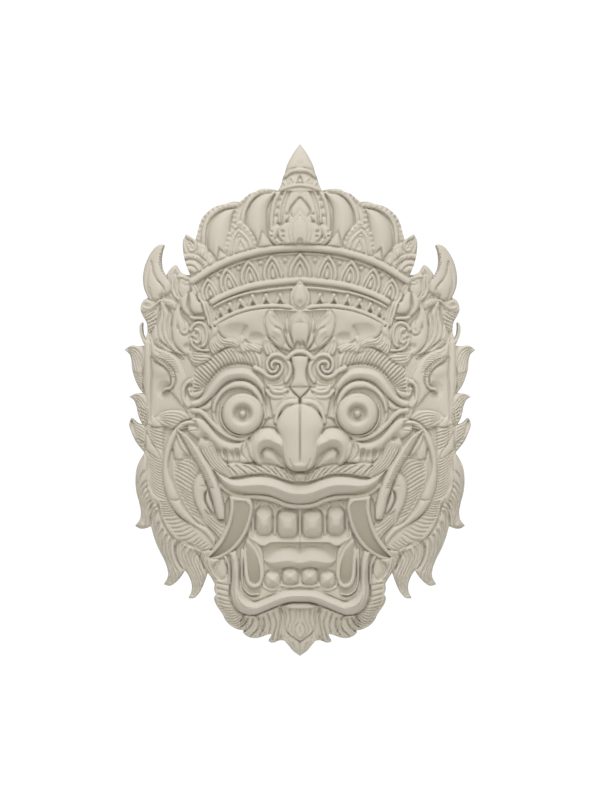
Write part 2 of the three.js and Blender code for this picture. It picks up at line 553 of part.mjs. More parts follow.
// Joining leaves many small triangles where forms cross. This merges neighbouring corners, the least
// noticeable first: a corner moves onto its neighbour when the planes around both stay within `tolerance`.
// Corners of the back and of the cut at the middle line stay there.
function thinOut(surface, tolerance) {
  const corners = cornersOf(surface);
  const faces = facesOf(surface);
  const plane = (face) => new THREE.Plane().setFromCoplanarPoints(...face.map((v) => corners[v]));
  const planesAt = corners.map(() => []);
  const facesAt = corners.map(() => new Set());
  faces.forEach((face, f) => {
    const facing = plane(face);
    face.forEach((v) => {
      planesAt[v].push(facing);
      facesAt[v].add(f);
    });
  });
  const flat = (axis, v) => Math.abs(corners[v][axis]) < 1e-3;
  const neighbours = (v) => new Set([...facesAt[v]].flatMap((f) => faces[f]).filter((w) => w !== v));
  const error = (v, w) => Math.max(...planesAt[v].map((p) => Math.abs(p.distanceToPoint(corners[w]))));
  const holds = (v, w) => {
    const shared = [...neighbours(v)].filter((n) => neighbours(w).has(n));
    if (shared.length !== 2 || ["x", "y"].some((axis) => flat(axis, v) && !flat(axis, w))) return false;
    return [...facesAt[v]].every((f) => {
      if (faces[f].includes(w)) return true;
      const before = plane(faces[f]).normal;
      const moved = faces[f].map((n) => (n === v ? w : n));
      if (!flat("x", v) && moved.every((n) => flat("x", n))) return false;
      const after = new THREE.Triangle(...moved.map((n) => corners[n]));
      return after.getArea() > 0.02 && before.dot(after.getNormal(new THREE.Vector3())) > 0.4;
    });
  };
  for (let pass = 1; pass <= THINNING_PASSES; pass++) {
    const allowed = (tolerance * pass) / THINNING_PASSES;
    corners.forEach((_, v) => {
      if (!facesAt[v].size) return;
      const ranked = [...neighbours(v)].map((w) => [error(v, w), w]).sort((p, q) => p[0] - q[0]);
      const choice = ranked.find(([cost, w]) => cost <= allowed && holds(v, w));
      if (!choice) return;
      const w = choice[1];
      for (const f of facesAt[v]) {
        if (faces[f].includes(w)) {
          faces[f].forEach((n) => n !== v && facesAt[n].delete(f));
          faces[f] = null;
        } else {
          faces[f] = faces[f].map((n) => (n === v ? w : n));
          facesAt[w].add(f);
        }
      }
      planesAt[w].push(...planesAt[v]);
      facesAt[v] = new Set();
    });
  }
  return surface.clone().setIndex(faces.filter(Boolean).flat());
}

// Both halves as one surface: the cut faces at the middle line go, and the mirrored half is added.
function withMirrorImage(surface) {
  const corners = cornersOf(surface);
  corners.forEach((corner) => {
    if (Math.abs(corner.x) < 1e-3) corner.x = 0;
  });
  const faces = facesOf(surface).filter((face) => face.some((v) => corners[v].x > 0));
  const images = corners.map(({ x, y, z }) => new THREE.Vector3(-x, y, z));
  const imageFaces = faces.map(([a, b, c]) => [a, c, b].map((v) => v + corners.length));
  const whole = new THREE.BufferGeometry().setFromPoints([...corners, ...images]);
  return mergeVertices(whole.setIndex([...faces, ...imageFaces].flat()), 1e-4);
}

const ground = union([...trunk(), ...mane()]).subtract(mouthHollow());
const carving = union([
  ground, ...crownPanels(), ...crownLeaves(), ...finial(), ...diadem(), ...forehead(), ...ears(), ...cheeks(),
  ...beard(), ...brow(), ...eyes(), ...mouth(), ...nose(),
]);
const half = thinOut(surfaceOf(rightHalf(filled(carving.subtract(union(nostrils()))))), THINNING);
const mask = withMirrorImage(half);
mask.computeVertexNormals();

const stone = new THREE.MeshStandardMaterial({ color: 0xc2baa9, roughness: 0.88, metalness: 0 });
const relief = new THREE.Mesh(mask, stone);
relief.name = "mask_relief";

const part = new THREE.Group();
part.add(relief);
export default part;
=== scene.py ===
# %% [markdown]
# # A demon mask carved in relief
# The object is one slab of pale stone, carved as a mask with a flat back. Nearly all of it is a surface
# that can be seen from the front, so it can be made as a relief map: for each place on the face we work
# out how far the carving stands in front of the back. Then the map becomes a mesh. Sculpting brushes
# would be another way, but their strokes can't be changed later one by one. A bump texture would leave
# the side view flat.
#
# We work in millimetres on half of the face. `U` is the distance from the middle line and `Z` the height.

# %% Start
import math

import bmesh
import bpy
import numpy as np
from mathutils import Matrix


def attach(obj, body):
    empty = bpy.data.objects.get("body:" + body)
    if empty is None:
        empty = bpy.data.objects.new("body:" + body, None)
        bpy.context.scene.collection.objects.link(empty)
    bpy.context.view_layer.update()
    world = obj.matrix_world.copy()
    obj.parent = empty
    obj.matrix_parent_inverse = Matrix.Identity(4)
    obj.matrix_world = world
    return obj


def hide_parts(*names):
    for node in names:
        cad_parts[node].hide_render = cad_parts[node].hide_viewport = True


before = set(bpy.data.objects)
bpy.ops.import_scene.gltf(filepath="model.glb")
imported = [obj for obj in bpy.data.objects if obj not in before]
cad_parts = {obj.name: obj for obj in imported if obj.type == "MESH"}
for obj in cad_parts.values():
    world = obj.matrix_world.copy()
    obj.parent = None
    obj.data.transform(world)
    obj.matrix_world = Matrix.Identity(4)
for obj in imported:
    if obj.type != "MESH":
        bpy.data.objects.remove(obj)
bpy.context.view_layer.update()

# %% [markdown]
# ## The ground
# The ground under all the carving is a shallow dome: 46 mm thick at the middle of the face, and falling
# to 10 mm beyond the rim. It could be a flattened sphere. A formula was chosen, because every carved form
# is measured from the ground, and so the face keeps one swell.

# %% The grid and the ground
STEP = 0.65
GRID_WIDTH = 180.0
GRID_HALF_HEIGHT = 260.0
u_line = np.arange(0.0, GRID_WIDTH, STEP)
z_line = np.arange(-GRID_HALF_HEIGHT, GRID_HALF_HEIGHT, STEP)
Z, U = np.meshgrid(z_line, u_line, indexing="ij")

BED_EDGE = 10.0
BED_CREST = 46.0
BED_HALF_WIDTH = 190.0
BED_HALF_HEIGHT = 272.0
BED_CENTRE_Z = -5.0


def bed(u, z):
    reach = 1 - (u / BED_HALF_WIDTH) ** 2 - ((z - BED_CENTRE_Z) / BED_HALF_HEIGHT) ** 2
    return BED_EDGE + (BED_CREST - BED_EDGE) * np.sqrt(np.maximum(reach, 0))


depth = bed(U, Z)
print("grid of", U.shape, "places, thickest", round(float(depth.max()), 1), "mm")

# %% [markdown]
# ## Drawing with curves
# All shapes are drawn with curves through a few points. `smooth` gives a soft curve through them, and
# `measure` tells for each place how far the curve is and how far along it the nearest point lies.

# %% Curves
TINY = 1e-6


def smooth(points, spacing=1.5):
    """A soft curve through the points, as a denser list of points."""
    p = np.array(points, float)
    if len(p) == 2:
        count = max(2, int(np.hypot(*(p[1] - p[0])) / spacing))
        return p[0] + (p[1] - p[0]) * np.linspace(0, 1, count)[:, None]
    ends = np.vstack([2 * p[0] - p[1], p, 2 * p[-1] - p[-2]])
    pieces = [p[:1]]
    for a, b, c, d in zip(ends, ends[1:], ends[2:], ends[3:]):
        ab, bc, cd = (max(np.hypot(*(q - r)), TINY) ** 0.5 for q, r in ((b, a), (c, b), (d, c)))
        leave = (b - a) / ab - (c - a) / (ab + bc) + (c - b) / bc
        reach = (c - b) / bc - (d - b) / (bc + cd) + (d - c) / cd
        t = np.linspace(0, 1, max(2, int(np.hypot(*(c - b)) / spacing) + 1))[1:, None]
        h = (2 * t**3 - 3 * t**2 + 1) * b + (3 * t**2 - 2 * t**3) * c
        pieces.append(h + (t**3 - 2 * t**2 + t) * leave * bc + (t**3 - t**2) * reach * bc)
    return np.vstack(pieces)


def window(path, margin):
    """The rows and columns of the grid around a path."""
    low, high = path.min(axis=0) - margin, path.max(axis=0) + margin
    columns = slice(max(0, int(low[0] / STEP)), max(0, int(high[0] / STEP) + 2))
    rows = slice(max(0, int((low[1] - z_line[0]) / STEP)), max(0, int((high[1] - z_line[0]) / STEP) + 2))
    return rows, columns


def measure(path, u, z):
    """Distance to the path, and the share of the path at its nearest point."""
    lengths = np.hypot(*np.diff(path, axis=0).T)
    starts = np.concatenate([[0], np.cumsum(lengths)])
    nearest = np.full(u.shape, np.inf)
    share = np.zeros(u.shape)
    for (au, az), (bu, bz), length, start in zip(path, path[1:], lengths, starts):
        if length == 0:
            continue
        t = np.clip(((u - au) * (bu - au) + (z - az) * (bz - az)) / length**2, 0, 1)
        away = (u - au - t * (bu - au)) ** 2 + (z - az - t * (bz - az)) ** 2
        closer = away < nearest
        nearest = np.where(closer, away, nearest)
        share = np.where(closer, (start + t * length) / starts[-1], share)
    return np.sqrt(nearest), share


def inside(outline, u, z):
    """True where a place lies inside a closed outline."""
    crossed = np.zeros(u.shape, bool)
    for (au, az), (bu, bz) in zip(outline, np.roll(outline, -1, axis=0)):
        if az != bz:
            crossed ^= ((az > z) != (bz > z)) & (u < au + (z - az) * (bu - au) / (bz - az))
    return crossed


# %% [markdown]
# ## The chisels
# A few chisels do nearly all the work. `form` raises a swelling between two edge curves, like a leaf, a
# lock or a band. `roll` lays a rounded bead along a path. `ridge` adds to what is there, or cuts a groove
# when its rise is negative, and `fan` cuts a row of such grooves. `bump` adds a small dome. Where one
# shape stops, the height changes over one grid step, so that edges stay smooth.

# %% The chisel for swellings
MARGIN = 3
GROOVE_SOFTNESS = 0.55
EDGE_GROOVE_REACH = 1.6
RIB_ROUNDNESS = 0.85


def dome(share):
    return np.sqrt(np.maximum(1 - share**2, 0))


def ribbed(angle):
    """Rounded ribs with a sharp cut between them, one rib for each half turn of the angle."""
    return np.abs(np.sin(angle)) ** RIB_ROUNDNESS


def lay(rows, columns, height, weight):
    depth[rows, columns] += (height - depth[rows, columns]) * weight


def form(edge_a, edge_b, rise=4.0, lift=0.0, strands=0, comb=0, slant=0.0, bite=2.0, groove=2.2,
         sharp=1.0, roof=0.0, crest=0.5):
    """A swelling between two edges. Strands run along it, the teeth of a comb run across it. With roof it
    gets two even slopes that meet at the crest, a share of the way over."""
    a, b = smooth(edge_a), smooth(edge_b)
    outline = np.vstack([a, b[::-1]])
    rows, columns = window(outline, MARGIN)
    u, z = U[rows, columns], Z[rows, columns]
    to_a, share_a = measure(a, u, z)
    to_b, share_b = measure(b, u, z)
    to_start = measure(outline[[0, -1]], u, z)[0]
    to_finish = measure(np.array([a[-1], b[-1]]), u, z)[0]
    within = inside(outline, u, z)
    to_rim = np.minimum(np.minimum(to_a, to_b), np.minimum(to_start, to_finish))
    border = to_rim * np.where(within, 1, -1)
    across = to_a / np.maximum(to_a + to_b, TINY)
    wide = (to_a + to_b) / np.max((to_a + to_b)[within], initial=1.0)
    slopes = np.minimum(across / crest, (1 - across) / (1 - crest))
    profile = roof * slopes + (1 - roof) * dome(2 * across - 1) ** sharp
    swell = rise * np.sqrt(np.clip(wide, 0, 1)) * profile
    base = lift(u, z) if callable(lift) else lift
    height = bed(u, z) + base + swell
    if strands:
        height = height - bite * (1 - ribbed(np.pi * strands * across)) * np.clip(wide * 2.5, 0.2, 1)
    if comb:
        along = (share_a + share_b) / 2
        height = height - bite * (1 - ribbed(np.pi * comb * (along + slant * across)))
    lay(rows, columns, height, np.clip(0.5 + border / STEP, 0, 1))
    if groove:
        edge = np.minimum(to_a, to_b)
        depth[rows, columns] -= GROOVE_SOFTNESS * groove * np.clip(1 - edge / EDGE_GROOVE_REACH, 0, 1)


# %% Chisels for beads, ridges and rows of cuts
ROLL_GROOVE_OFFSET = 0.4
ROLL_GROOVE_REACH = 1.3
POINTS_PER_CUT = 12


def taper(line, width, end_width, margin):
    """Places around a line, their distance and share along it, and the half width of the tool there."""
    end_width = width if end_width is None else end_width
    widest = max(width, end_width)
    rows, columns = window(line, widest / 2 + margin)
    away, share = measure(line, U[rows, columns], Z[rows, columns])
    return rows, columns, away, share, (width + (end_width - width) * share) / 2, widest


def roll(path, width, rise, lift=0.0, end_width=None, groove=2.0):
    """A rounded bead along a path, wide at its start and narrowing to its end."""
    rows, columns, away, _, half, widest = taper(smooth(path), width, end_width, MARGIN)
    u, z = U[rows, columns], Z[rows, columns]
    base = lift(u, z) if callable(lift) else lift
    height = bed(u, z) + base + rise * dome(away / half) * (half * 2 / widest) ** 0.5
    lay(rows, columns, height, np.clip(0.5 + (half - away) / STEP, 0, 1))
    if groove:
        off_groove = np.abs(away - half - ROLL_GROOVE_OFFSET)
        cut = np.clip(1 - off_groove / ROLL_GROOVE_REACH, 0, 1)
        depth[rows, columns] -= GROOVE_SOFTNESS * groove * cut


def ridge(path, width, rise, end_width=None, fade=0.0):
    """Adds a soft ridge to the surface, or cuts a groove when the rise is negative. With fade its height
    comes up from nothing over that share of the path."""
    rows, columns, away, share, half, widest = taper(smooth(path), width, end_width, 1)
    height = rise * (2 * half / widest) ** 0.7 * (np.clip(share / fade, 0, 1) if fade else 1)
    depth[rows, columns] += height * np.clip(1 - (away / half) ** 2, 0, 1)


def fan(lines, count, width=2.3, deep=2.6, end_width=1.2, fade=0.12):
    """Cuts a row of strands. The cuts change evenly from each drawn line to the next."""
    smoothed = [smooth(line) for line in lines]
    picks = [np.linspace(0, len(line) - 1, POINTS_PER_CUT).round().astype(int) for line in smoothed]
    lines = np.array([line[pick] for line, pick in zip(smoothed, picks)])
    for place in np.linspace(0, len(lines) - 1, count):
        i = min(int(place), len(lines) - 2)
        ridge(lines[i] + (lines[i + 1] - lines[i]) * (place - i), width=width, rise=-deep,
              end_width=end_width, fade=fade)


# %% Small domes, leaves and arcs
ARC_POINTS = 16


def bump(centre, radius, rise, squash=1.0):
    """Adds a small dome, or a hollow when the rise is negative."""
    rows, columns = window(np.array([centre], float), radius * max(1, squash) + 1)
    away = np.hypot((U[rows, columns] - centre[0]) / squash, Z[rows, columns] - centre[1]) / radius
    depth[rows, columns] += rise * np.clip(1 - away**2, 0, 1)


def bumps(path, count, radius, rise):
    """A row of small domes along a path."""
    line = smooth(path)
    for i in np.linspace(0, len(line) - 1, count).round().astype(int):
        bump(line[i], radius=radius, rise=rise)


def petal(foot, tip, width, bend=0.0):
    """The two edges of a pointed leaf from its tip to its foot. Bend pushes its belly sideways."""
    foot, tip = np.array(foot, float), np.array(tip, float)
    axis = foot - tip
    across = np.array([-axis[1], axis[0]]) / np.hypot(*axis) * width / 2
    edges = ([], [])
    for t, w in ((0, 0), (0.2, 0.42), (0.45, 0.78), (0.75, 1.0), (1.0, 0.96)):
        for edge, side in zip(edges, (-1, 1)):
            edge.append(tuple(tip + axis * t + across * (side * w + bend * math.sin(math.pi * t))))
    return edges


def both(edge):
    """The two edges of a form that is its own mirror image, from the edge on one side."""
    return [(-u, z) for u, z in edge], edge


def mirrored(path):
    """A path on one side of the middle line, continued on the other side."""
    return [(-u, z) for u, z in path[:0:-1]] + list(path)


def arc(centre, radius, start, turn, squash=1.0):
    """Points on an arc. Angles in degrees, from the outer side, upwards."""
    angles = [math.radians(start + turn * share) for share in np.linspace(0, 1, ARC_POINTS)]
    return [(centre[0] + radius * math.cos(a), centre[1] + squash * radius * math.sin(a)) for a in angles]


# %% A note for each step
carved_before = depth.copy()


def tell(name):
    """Prints how much of the whole face the last cell has changed, and the greatest height so far."""
    changed = 2 * STEP**2 * np.count_nonzero(depth != carved_before)
    print(name, "- carved over", round(changed / 100), "cm2, highest", round(float(depth.max()), 1), "mm")
    carved_before[:] = depth

# %% [markdown]
# ## The outline
# The silhouette decides most of how the mask reads, so it is drawn on its own. It could be cut later with
# a boolean, but the map can simply be cut along it. Each stroke is a soft curve, and the strokes meet in
# the sharp tips and notches. From them we get `cover`: how far a place lies inside the outline, negative
# outside.

# %% Outline of one half, from the finial's tip to the beard's tip
SPACING = 1.2
STROKES = [[(0, 257.5), (3, 253.3), (6, 249), (9, 243.8), (12, 238), (14, 232.5), (15.1, 228)],
           [(15.1, 228), (17.4, 222.3), (19, 216.3), (20.4, 213), (22, 209.8)],
           [(22, 209.8), (30, 211.6), (40, 211.4), (45, 208.8), (50, 207), (54, 204.2), (58, 200.7),
            (61, 198.6)],
           [(61, 198.6), (68, 198.9), (74, 197), (84.5, 194.3), (90, 190.8), (97, 184.3), (101, 175.5),
            (103.7, 165), (105, 160.5)],
           [(105, 160.5), (110, 164), (114.3, 166.5)],
           [(114.3, 166.5), (117.4, 160), (117.3, 150), (116.2, 143), (114, 135), (110, 125.3)],
           [(110, 125.3), (114.5, 125.6), (119.5, 128.5), (124.3, 135.8)],
           [(124.3, 135.8), (127.5, 134), (131, 130.3), (134.7, 124.5)],
           [(134.7, 124.5), (138.6, 132.5), (139.6, 141), (138.8, 149), (136.5, 156.5)],
           [(136.5, 156.5), (142.5, 155.8), (148, 151), (153, 143), (156.5, 133.5), (158, 122),
            (156.6, 112), (152.7, 102.7)],
           [(152.7, 102.7), (157, 100.3), (159.8, 95), (160, 89.5), (157.5, 84), (153.8, 77), (153.2, 68),
            (155, 61)],
           [(155, 61), (157.6, 66), (158.4, 72), (158.2, 78.5)],
           [(158.2, 78.5), (160.6, 76), (161.3, 70), (160, 63.5), (157.5, 58), (155.5, 54.8)],
           [(155.5, 54.8), (162, 54.2), (170, 54.7), (176.5, 50.5)],
           [(176.5, 50.5), (171.8, 46.5), (169.6, 41), (168.6, 31), (165.3, 20), (161, 11.5), (157.5, 7)],
           [(157.5, 7), (164, 6.7), (172, 3.5)],
           [(172, 3.5), (167.5, 0.5), (164.6, -5), (162.8, -13), (160.7, -19.5), (157.8, -24.6)],
           [(157.8, -24.6), (163, -23.5), (169.5, -17.8)],
           [(169.5, -17.8), (171.7, -24), (169.5, -31.5), (165, -41.5), (160.5, -47.5), (156, -52.8)],
           [(156, -52.8), (160.5, -60), (164, -68.5), (165.3, -80), (164.6, -91), (161.5, -104),
            (160, -113), (161.3, -120.5), (166.2, -126.5)],
           [(166.2, -126.5), (161.5, -129.3), (156, -129.3), (149.6, -126.8)],
           [(149.6, -126.8), (147, -137), (142.5, -149), (136.5, -161), (133.3, -170), (132.8, -177),
            (137.2, -185.7)],
           [(137.2, -185.7), (131, -187), (125.5, -183.8), (119.5, -177.5), (115.4, -170.8)],
           [(115.4, -170.8), (111.5, -177), (108.7, -185.5), (109.2, -192.5), (112.3, -199.2)],
           [(112.3, -199.2), (106.5, -199), (100.5, -192.8), (96.5, -184), (92.7, -172.8)],
           [(92.7, -172.8), (89, -178), (85.5, -184.3)],
           [(85.5, -184.3), (86, -190), (84.2, -196), (86.2, -198.3), (84.5, -205), (81, -210.3),
            (77.5, -215.6), (75, -221), (70, -226.2), (63, -230), (57, -231.3), (52, -231.3)],
           [(52, -231.3), (57.3, -233.4)],
           [(57.3, -233.4), (53.5, -237), (46.5, -239.2), (39, -238), (33.5, -235.6), (28.3, -234.5)],
           [(28.3, -234.5), (29.4, -239), (31.6, -242.6)],
           [(31.6, -242.6), (27, -243.8), (21, -241.4), (15.7, -241.3)],
           [(15.7, -241.3), (11.5, -246.5), (7, -252), (0, -257.2)]]
strokes = [smooth(stroke, SPACING)[:-1] for stroke in STROKES]
outline = np.vstack(strokes + [np.array([STROKES[-1][-1]], float)])


def fill(outline):
    """Marks the grid places inside a closed outline, one row at a time."""
    filled = np.zeros(U.shape, bool)
    for (au, az), (bu, bz) in zip(outline, np.roll(outline, -1, axis=0)):
        for row in np.nonzero((z_line >= min(az, bz)) & (z_line < max(az, bz)))[0]:
            crossing = au + (z_line[row] - az) * (bu - au) / (bz - az)
            filled[row, u_line < crossing] ^= True
    return filled


# %% How far each place lies inside the outline
COVER_REACH = 4.0
PIECE = 12
cover = np.full(U.shape, COVER_REACH)
for start in range(0, len(outline) - 1, PIECE):
    piece = outline[start:start + PIECE + 1]
    rows, columns = window(piece, COVER_REACH)
    away, _ = measure(piece, U[rows, columns], Z[rows, columns])
    cover[rows, columns] = np.minimum(cover[rows, columns], away)
beyond_middle = [(-1.0, outline[-1][1]), (-1.0, outline[0][1])]
cover *= np.where(fill(np.vstack([outline, beyond_middle])), 1, -1)
print("outline of", len(outline), "points, area", round(2 * STEP**2 * float((cover > 0).sum()) / 100),
      "cm2")

# %% [markdown]
# ## The crown
# The crown has a smooth middle panel and two swelling panels on each side, edged with rolls and small
# scallops, and leaves stand in front of it. The panels could be slices of a sphere. Here each one is a
# `form` between two seams, so that it keeps the low height of a relief.

# %% Crown panels
GORE_ONE = [(24, 208), (29, 200), (32.5, 190), (33, 175), (33, 160), (34, 146)]
GORE_ONE_OUT = [(27, 208.5), (38, 206), (44, 202), (49, 196), (52.5, 188), (54, 178), (54, 162),
                (55, 144)]
GORE_TWO = [(65, 191), (68, 183), (70, 170), (72, 158), (74, 136)]
GORE_TWO_OUT = [(66, 191.8), (74, 190.3), (80.5, 187), (86.5, 181), (90.5, 174), (92.5, 165), (92.5, 150),
                (92, 128)]

PANEL = [(8.5, 211.5), (11, 205.5), (13.8, 199.5), (16, 193), (17.6, 186), (18.4, 178), (18.4, 165),
         (19, 150)]
form(*both(PANEL), rise=3.5, lift=lambda u, z: 8.5 - 2 * np.clip((z - 185) / 26, 0, 1))
form(PANEL, GORE_ONE, rise=1, lift=3)
roll([(14, 210), (16.6, 204), (18.8, 198), (20.3, 191), (21, 184), (20.5, 177.5)], width=3.4, rise=2.5,
     lift=3.5)
roll([(20.4, 210), (22.8, 205), (25.4, 198), (27.2, 190), (28.2, 182), (28.4, 171)], width=5, rise=3.2,
     lift=3.5, groove=2.6)
ridge([(23.6, 200), (25.4, 192), (26.2, 184), (26.2, 175)], width=1.6, rise=-1.6)
ridge([(23, 209), (26, 204), (29, 198.5), (31.2, 192), (32.4, 184), (32.6, 175), (32.4, 165), (30, 159.5),
       (26, 155.5)],
      width=3.2, rise=-3)
for hole in ((18, 206), (20.5, 200), (22, 192), (23.7, 184), (21.7, 176)):
    bump(hole, radius=2, rise=-3.5)
for inner, outer, rim_path, scallops, count in ((GORE_ONE, GORE_ONE_OUT,
                                                 [(30, 209.3), (39, 208.3), (46, 204.8), (51.5, 198.8),
                                                  (55.5, 191), (57.6, 182), (58, 170)],
                                                 [(26, 210.3), (34, 211.3), (42, 210), (50, 206.5),
                                                  (56, 201.5), (60, 197)],
                                                 9),
                                                (GORE_TWO, GORE_TWO_OUT,
                                                 [(66, 195), (74, 194), (82, 190.8), (89.5, 185.2),
                                                  (94.5, 177), (96.7, 166), (96.7, 148)],
                                                 [(62, 198.8), (71, 197.3), (80, 194.8), (88, 191),
                                                  (95, 185.5), (99.5, 178), (102, 170), (103, 161)],
                                                 13)):
    form(inner, outer, rise=8, lift=2.6, sharp=1.5, groove=1.4, roof=0.2)
    roll(rim_path, width=5, rise=3, lift=2)
    bumps(scallops, count=count, radius=2.7, rise=2.4)
bumps([(63, 195), (65.5, 188), (66, 181), (66.5, 173), (70, 166)], count=7, radius=2.6, rise=2.8)
tell("crown panels")

# %% [markdown]
# ### Leaves of the crown
# Each crown leaf is a stack of smaller leaves. They are raised one over another, so that their rims read
# as fine lines. Small spurs with one crest stand between them.

# %% Middle leaf of the crown
def nested(leaves, rise, lift, rise_step=1.0, **options):
    """Leaves one inside another, each a little higher. Each is (its left edge, its right edge)."""
    for i, (left, right) in enumerate(leaves):
        form(left, right, rise=rise, lift=lift + rise_step * i, **options)


MIDDLE_LEAF = [(0, 203), (3, 199), (6, 196.6), (9, 192.6), (10.8, 188), (10.4, 184), (12.6, 180),
               (16, 176.5), (20, 173), (22.4, 168), (21, 160), (17, 154)]
form(*both(MIDDLE_LEAF), rise=4, lift=8)
form([(22, 176), (27, 173), (31, 168), (31, 161), (27, 156.5), (22, 153.5)],
     [(22, 176), (20, 172), (21.6, 168), (22.8, 164), (21, 160.5), (17.5, 157)],
     rise=3.5, lift=6, groove=2.4)
for half_of_cut in both([(1, 202), (5, 197.8), (8, 193.8), (9.9, 190), (9.8, 185.8), (8.6, 183.4)]):
    ridge(half_of_cut, width=3, rise=-3)
ridge([(26, 160), (23, 157), (20, 154.4)], width=1.8, rise=-2)
ridge([(22.5, 163.5), (19, 159.6)], width=1.8, rise=-2)
for hole, radius in (((13.2, 185.6), 2.1), ((13, 178), 2.2), ((17.4, 168), 2.5), ((17, 163.4), 1.9),
                     ((28.6, 168), 1.9), ((28.4, 163.6), 1.5), ((24.6, 161.4), 1.5), ((18, 158.8), 1.3)):
    bump(hole, radius=radius, rise=-4)
nested([both([(0, 190), (3, 185.5), (6, 182), (9.2, 177.6), (11.8, 172.5), (12.4, 167.5), (11.8, 162.5),
              (8.6, 155)]),
        both([(0, 184), (4.4, 178.5), (7.6, 173), (8.5, 167), (8, 161.5), (6, 155)])],
       rise=3, lift=10.5, groove=2.8)
bump((0, 157.5), radius=4.6, rise=-5, squash=0.8)
tell("middle leaf")

# %% Side leaves of the crown
form([(60, 180), (53, 173.5), (46, 165.5), (42.5, 157), (44, 148)],
     [(60, 180), (66, 175), (70, 168), (73, 158), (74, 143)],
     rise=2, lift=5, groove=2.8)
for edge in ([(61.6, 169.6), (55.5, 164.4), (50.6, 157), (48.6, 146)],
             [(61.6, 169.6), (66, 163), (68, 154.6), (69, 143)],
             [(60.2, 161), (56.4, 156.6), (54, 150), (53, 144)],
             [(60.2, 161), (62.8, 155), (63.6, 149), (64, 142)]):
    roll(edge, width=3.4, rise=2.8, lift=5, groove=2.4)
bump((58.6, 152.6), radius=2.2, rise=-1.5)
bumps([(59, 177), (53, 171), (48, 164.5), (45, 158), (44.6, 151)], count=7, radius=2.2, rise=2.2)
bumps([(62, 176.5), (66.6, 171.6), (70, 166), (72, 159), (73, 151)], count=7, radius=2.2, rise=2.2)
for peak, left, right, lift in (((38, 169), (26, 154), (43, 151), 5),
                                ((81, 152.5), (69.5, 140.5), (84, 136), 4)):
    form([peak, left], [peak, right], rise=4, lift=lift, sharp=1.6)

tell("side leaves")

# %% [markdown]
# ### Crown ends and finial
# At each end of the diadem the crown closes with a small fan over a flame. The fan is a set of arcs, one
# inside another. On top stands the finial, a spire on rings. A lathe would turn it fully round, but in
# the relief it is only a dome across its width.

# %% Crown ends
form([(114, 166.5), (118, 159), (117, 148), (114.5, 136), (110, 122)],
     [(114, 166.5), (106, 161), (97, 155), (90, 149), (86, 134)],
     rise=5, lift=1, strands=4)
nested([([(89.6, 149), (84.6, 143), (82.6, 136), (82, 128)],
         [(89.6, 149), (95.4, 144), (96, 136), (94, 128)]),
        ([(89.4, 143.4), (87, 139), (86, 132)], [(89.4, 143.4), (92, 138), (92, 130)])],
       rise=3, lift=3, rise_step=1.6, groove=2.8)
nested([([(98.4, 157.6), (93, 152.6), (92, 146), (94, 138)],
         [(98.4, 157.6), (103, 152), (103, 145), (102, 138)]),
        ([(97.8, 152.4), (95.2, 149), (95.4, 144)], [(97.8, 152.4), (100.4, 148), (100, 142)])],
       rise=3, lift=3.4, rise_step=1.6, groove=2.8)
roll([(112.6, 163.6), (107, 160.6), (104.4, 156), (105, 151.6), (108, 149.4), (111, 151), (110.4, 154.4)],
     width=4.6, rise=3, lift=3, end_width=2.6, groove=2.4)
FAN = (111, 126)
FAN_START = 64
FAN_TURN = 100
FAN_BAND = 6
for radius, lift, teeth in ((21, 3.5, 13), (14, 4.6, 0), (8.6, 5.6, 0)):
    form(arc(FAN, radius=radius, start=FAN_START, turn=FAN_TURN),
         arc(FAN, radius=radius - FAN_BAND, start=FAN_START, turn=FAN_TURN), rise=3, lift=lift,
         comb=teeth, bite=2.8, groove=2.8)
tell("crown ends")

# %% Finial
SPIRE = 10.0


def spire(half):
    return lambda u, z: SPIRE * dome(u / half)


form(*both([(0, 257.5), (5.5, 250.5), (10.5, 242), (14, 234), (15.2, 227)]), rise=SPIRE, lift=4)
form(*both([(15, 228), (18, 219.5), (22, 209)]), rise=SPIRE, lift=0, groove=0)
bump((0, 235.5), radius=4.5, rise=-2)
roll(mirrored([(0, 230.6), (9, 229), (16, 224)]), width=4.4, rise=2.4, lift=spire(17.5), groove=2.2)
for centre, tall in ((0, 8), (9, 7), (16.5, 6)):
    foot = 217 - 0.02 * centre**2
    for side in (-1, 1):
        ridge([(side * centre - 3.4, foot), (side * centre - 1.8, foot + tall * 0.7),
               (side * centre, foot + tall)],
              width=1.6, rise=1.6)
        ridge([(side * centre + 3.4, foot), (side * centre + 1.8, foot + tall * 0.7),
               (side * centre, foot + tall)],
              width=1.6, rise=1.6)
        bump((side * centre, foot + 1.5), radius=1.8, rise=1.2)
roll(mirrored([(0, 215), (10, 213.6), (21, 209.8)]), width=3.6, rise=2, lift=spire(22), groove=2)
tell("finial")

# %% [markdown]
# ## Mane and locks
# The hair comes before everything that lies over it. Real hair would be curves or particles, but this
# hair is cut in stone, so it is one surface with grooves. First its soft ground and the pointed locks of
# the rim are laid, then rows of strands are cut into them with `fan`. The strands part along a line
# beside the ear: outside it they swing to the rim, inside it they run down to the cheek.

# %% Ground of the mane
form([(157, 60), (156, 30), (152, 0), (154, -28), (156, -54), (158, -75), (158, -95), (151, -112),
      (143, -128), (132, -142), (118, -150), (100, -156)],
     [(128, 60), (130, 30), (130, 0), (136, -24), (137, -54), (137, -76), (135, -92), (130, -104),
      (120, -118), (106, -126), (94, -134), (84, -146)],
     rise=3, lift=2.5, groove=0)
form([(152, 99), (159.8, 95), (160, 89.5), (157.5, 84), (153.8, 77), (153.2, 68), (155, 60)],
     [(146, 94), (144, 88), (144, 80), (147, 72), (150, 66), (152, 60)],
     rise=2, lift=1, comb=11, slant=0.14, bite=3.2, groove=1.2)

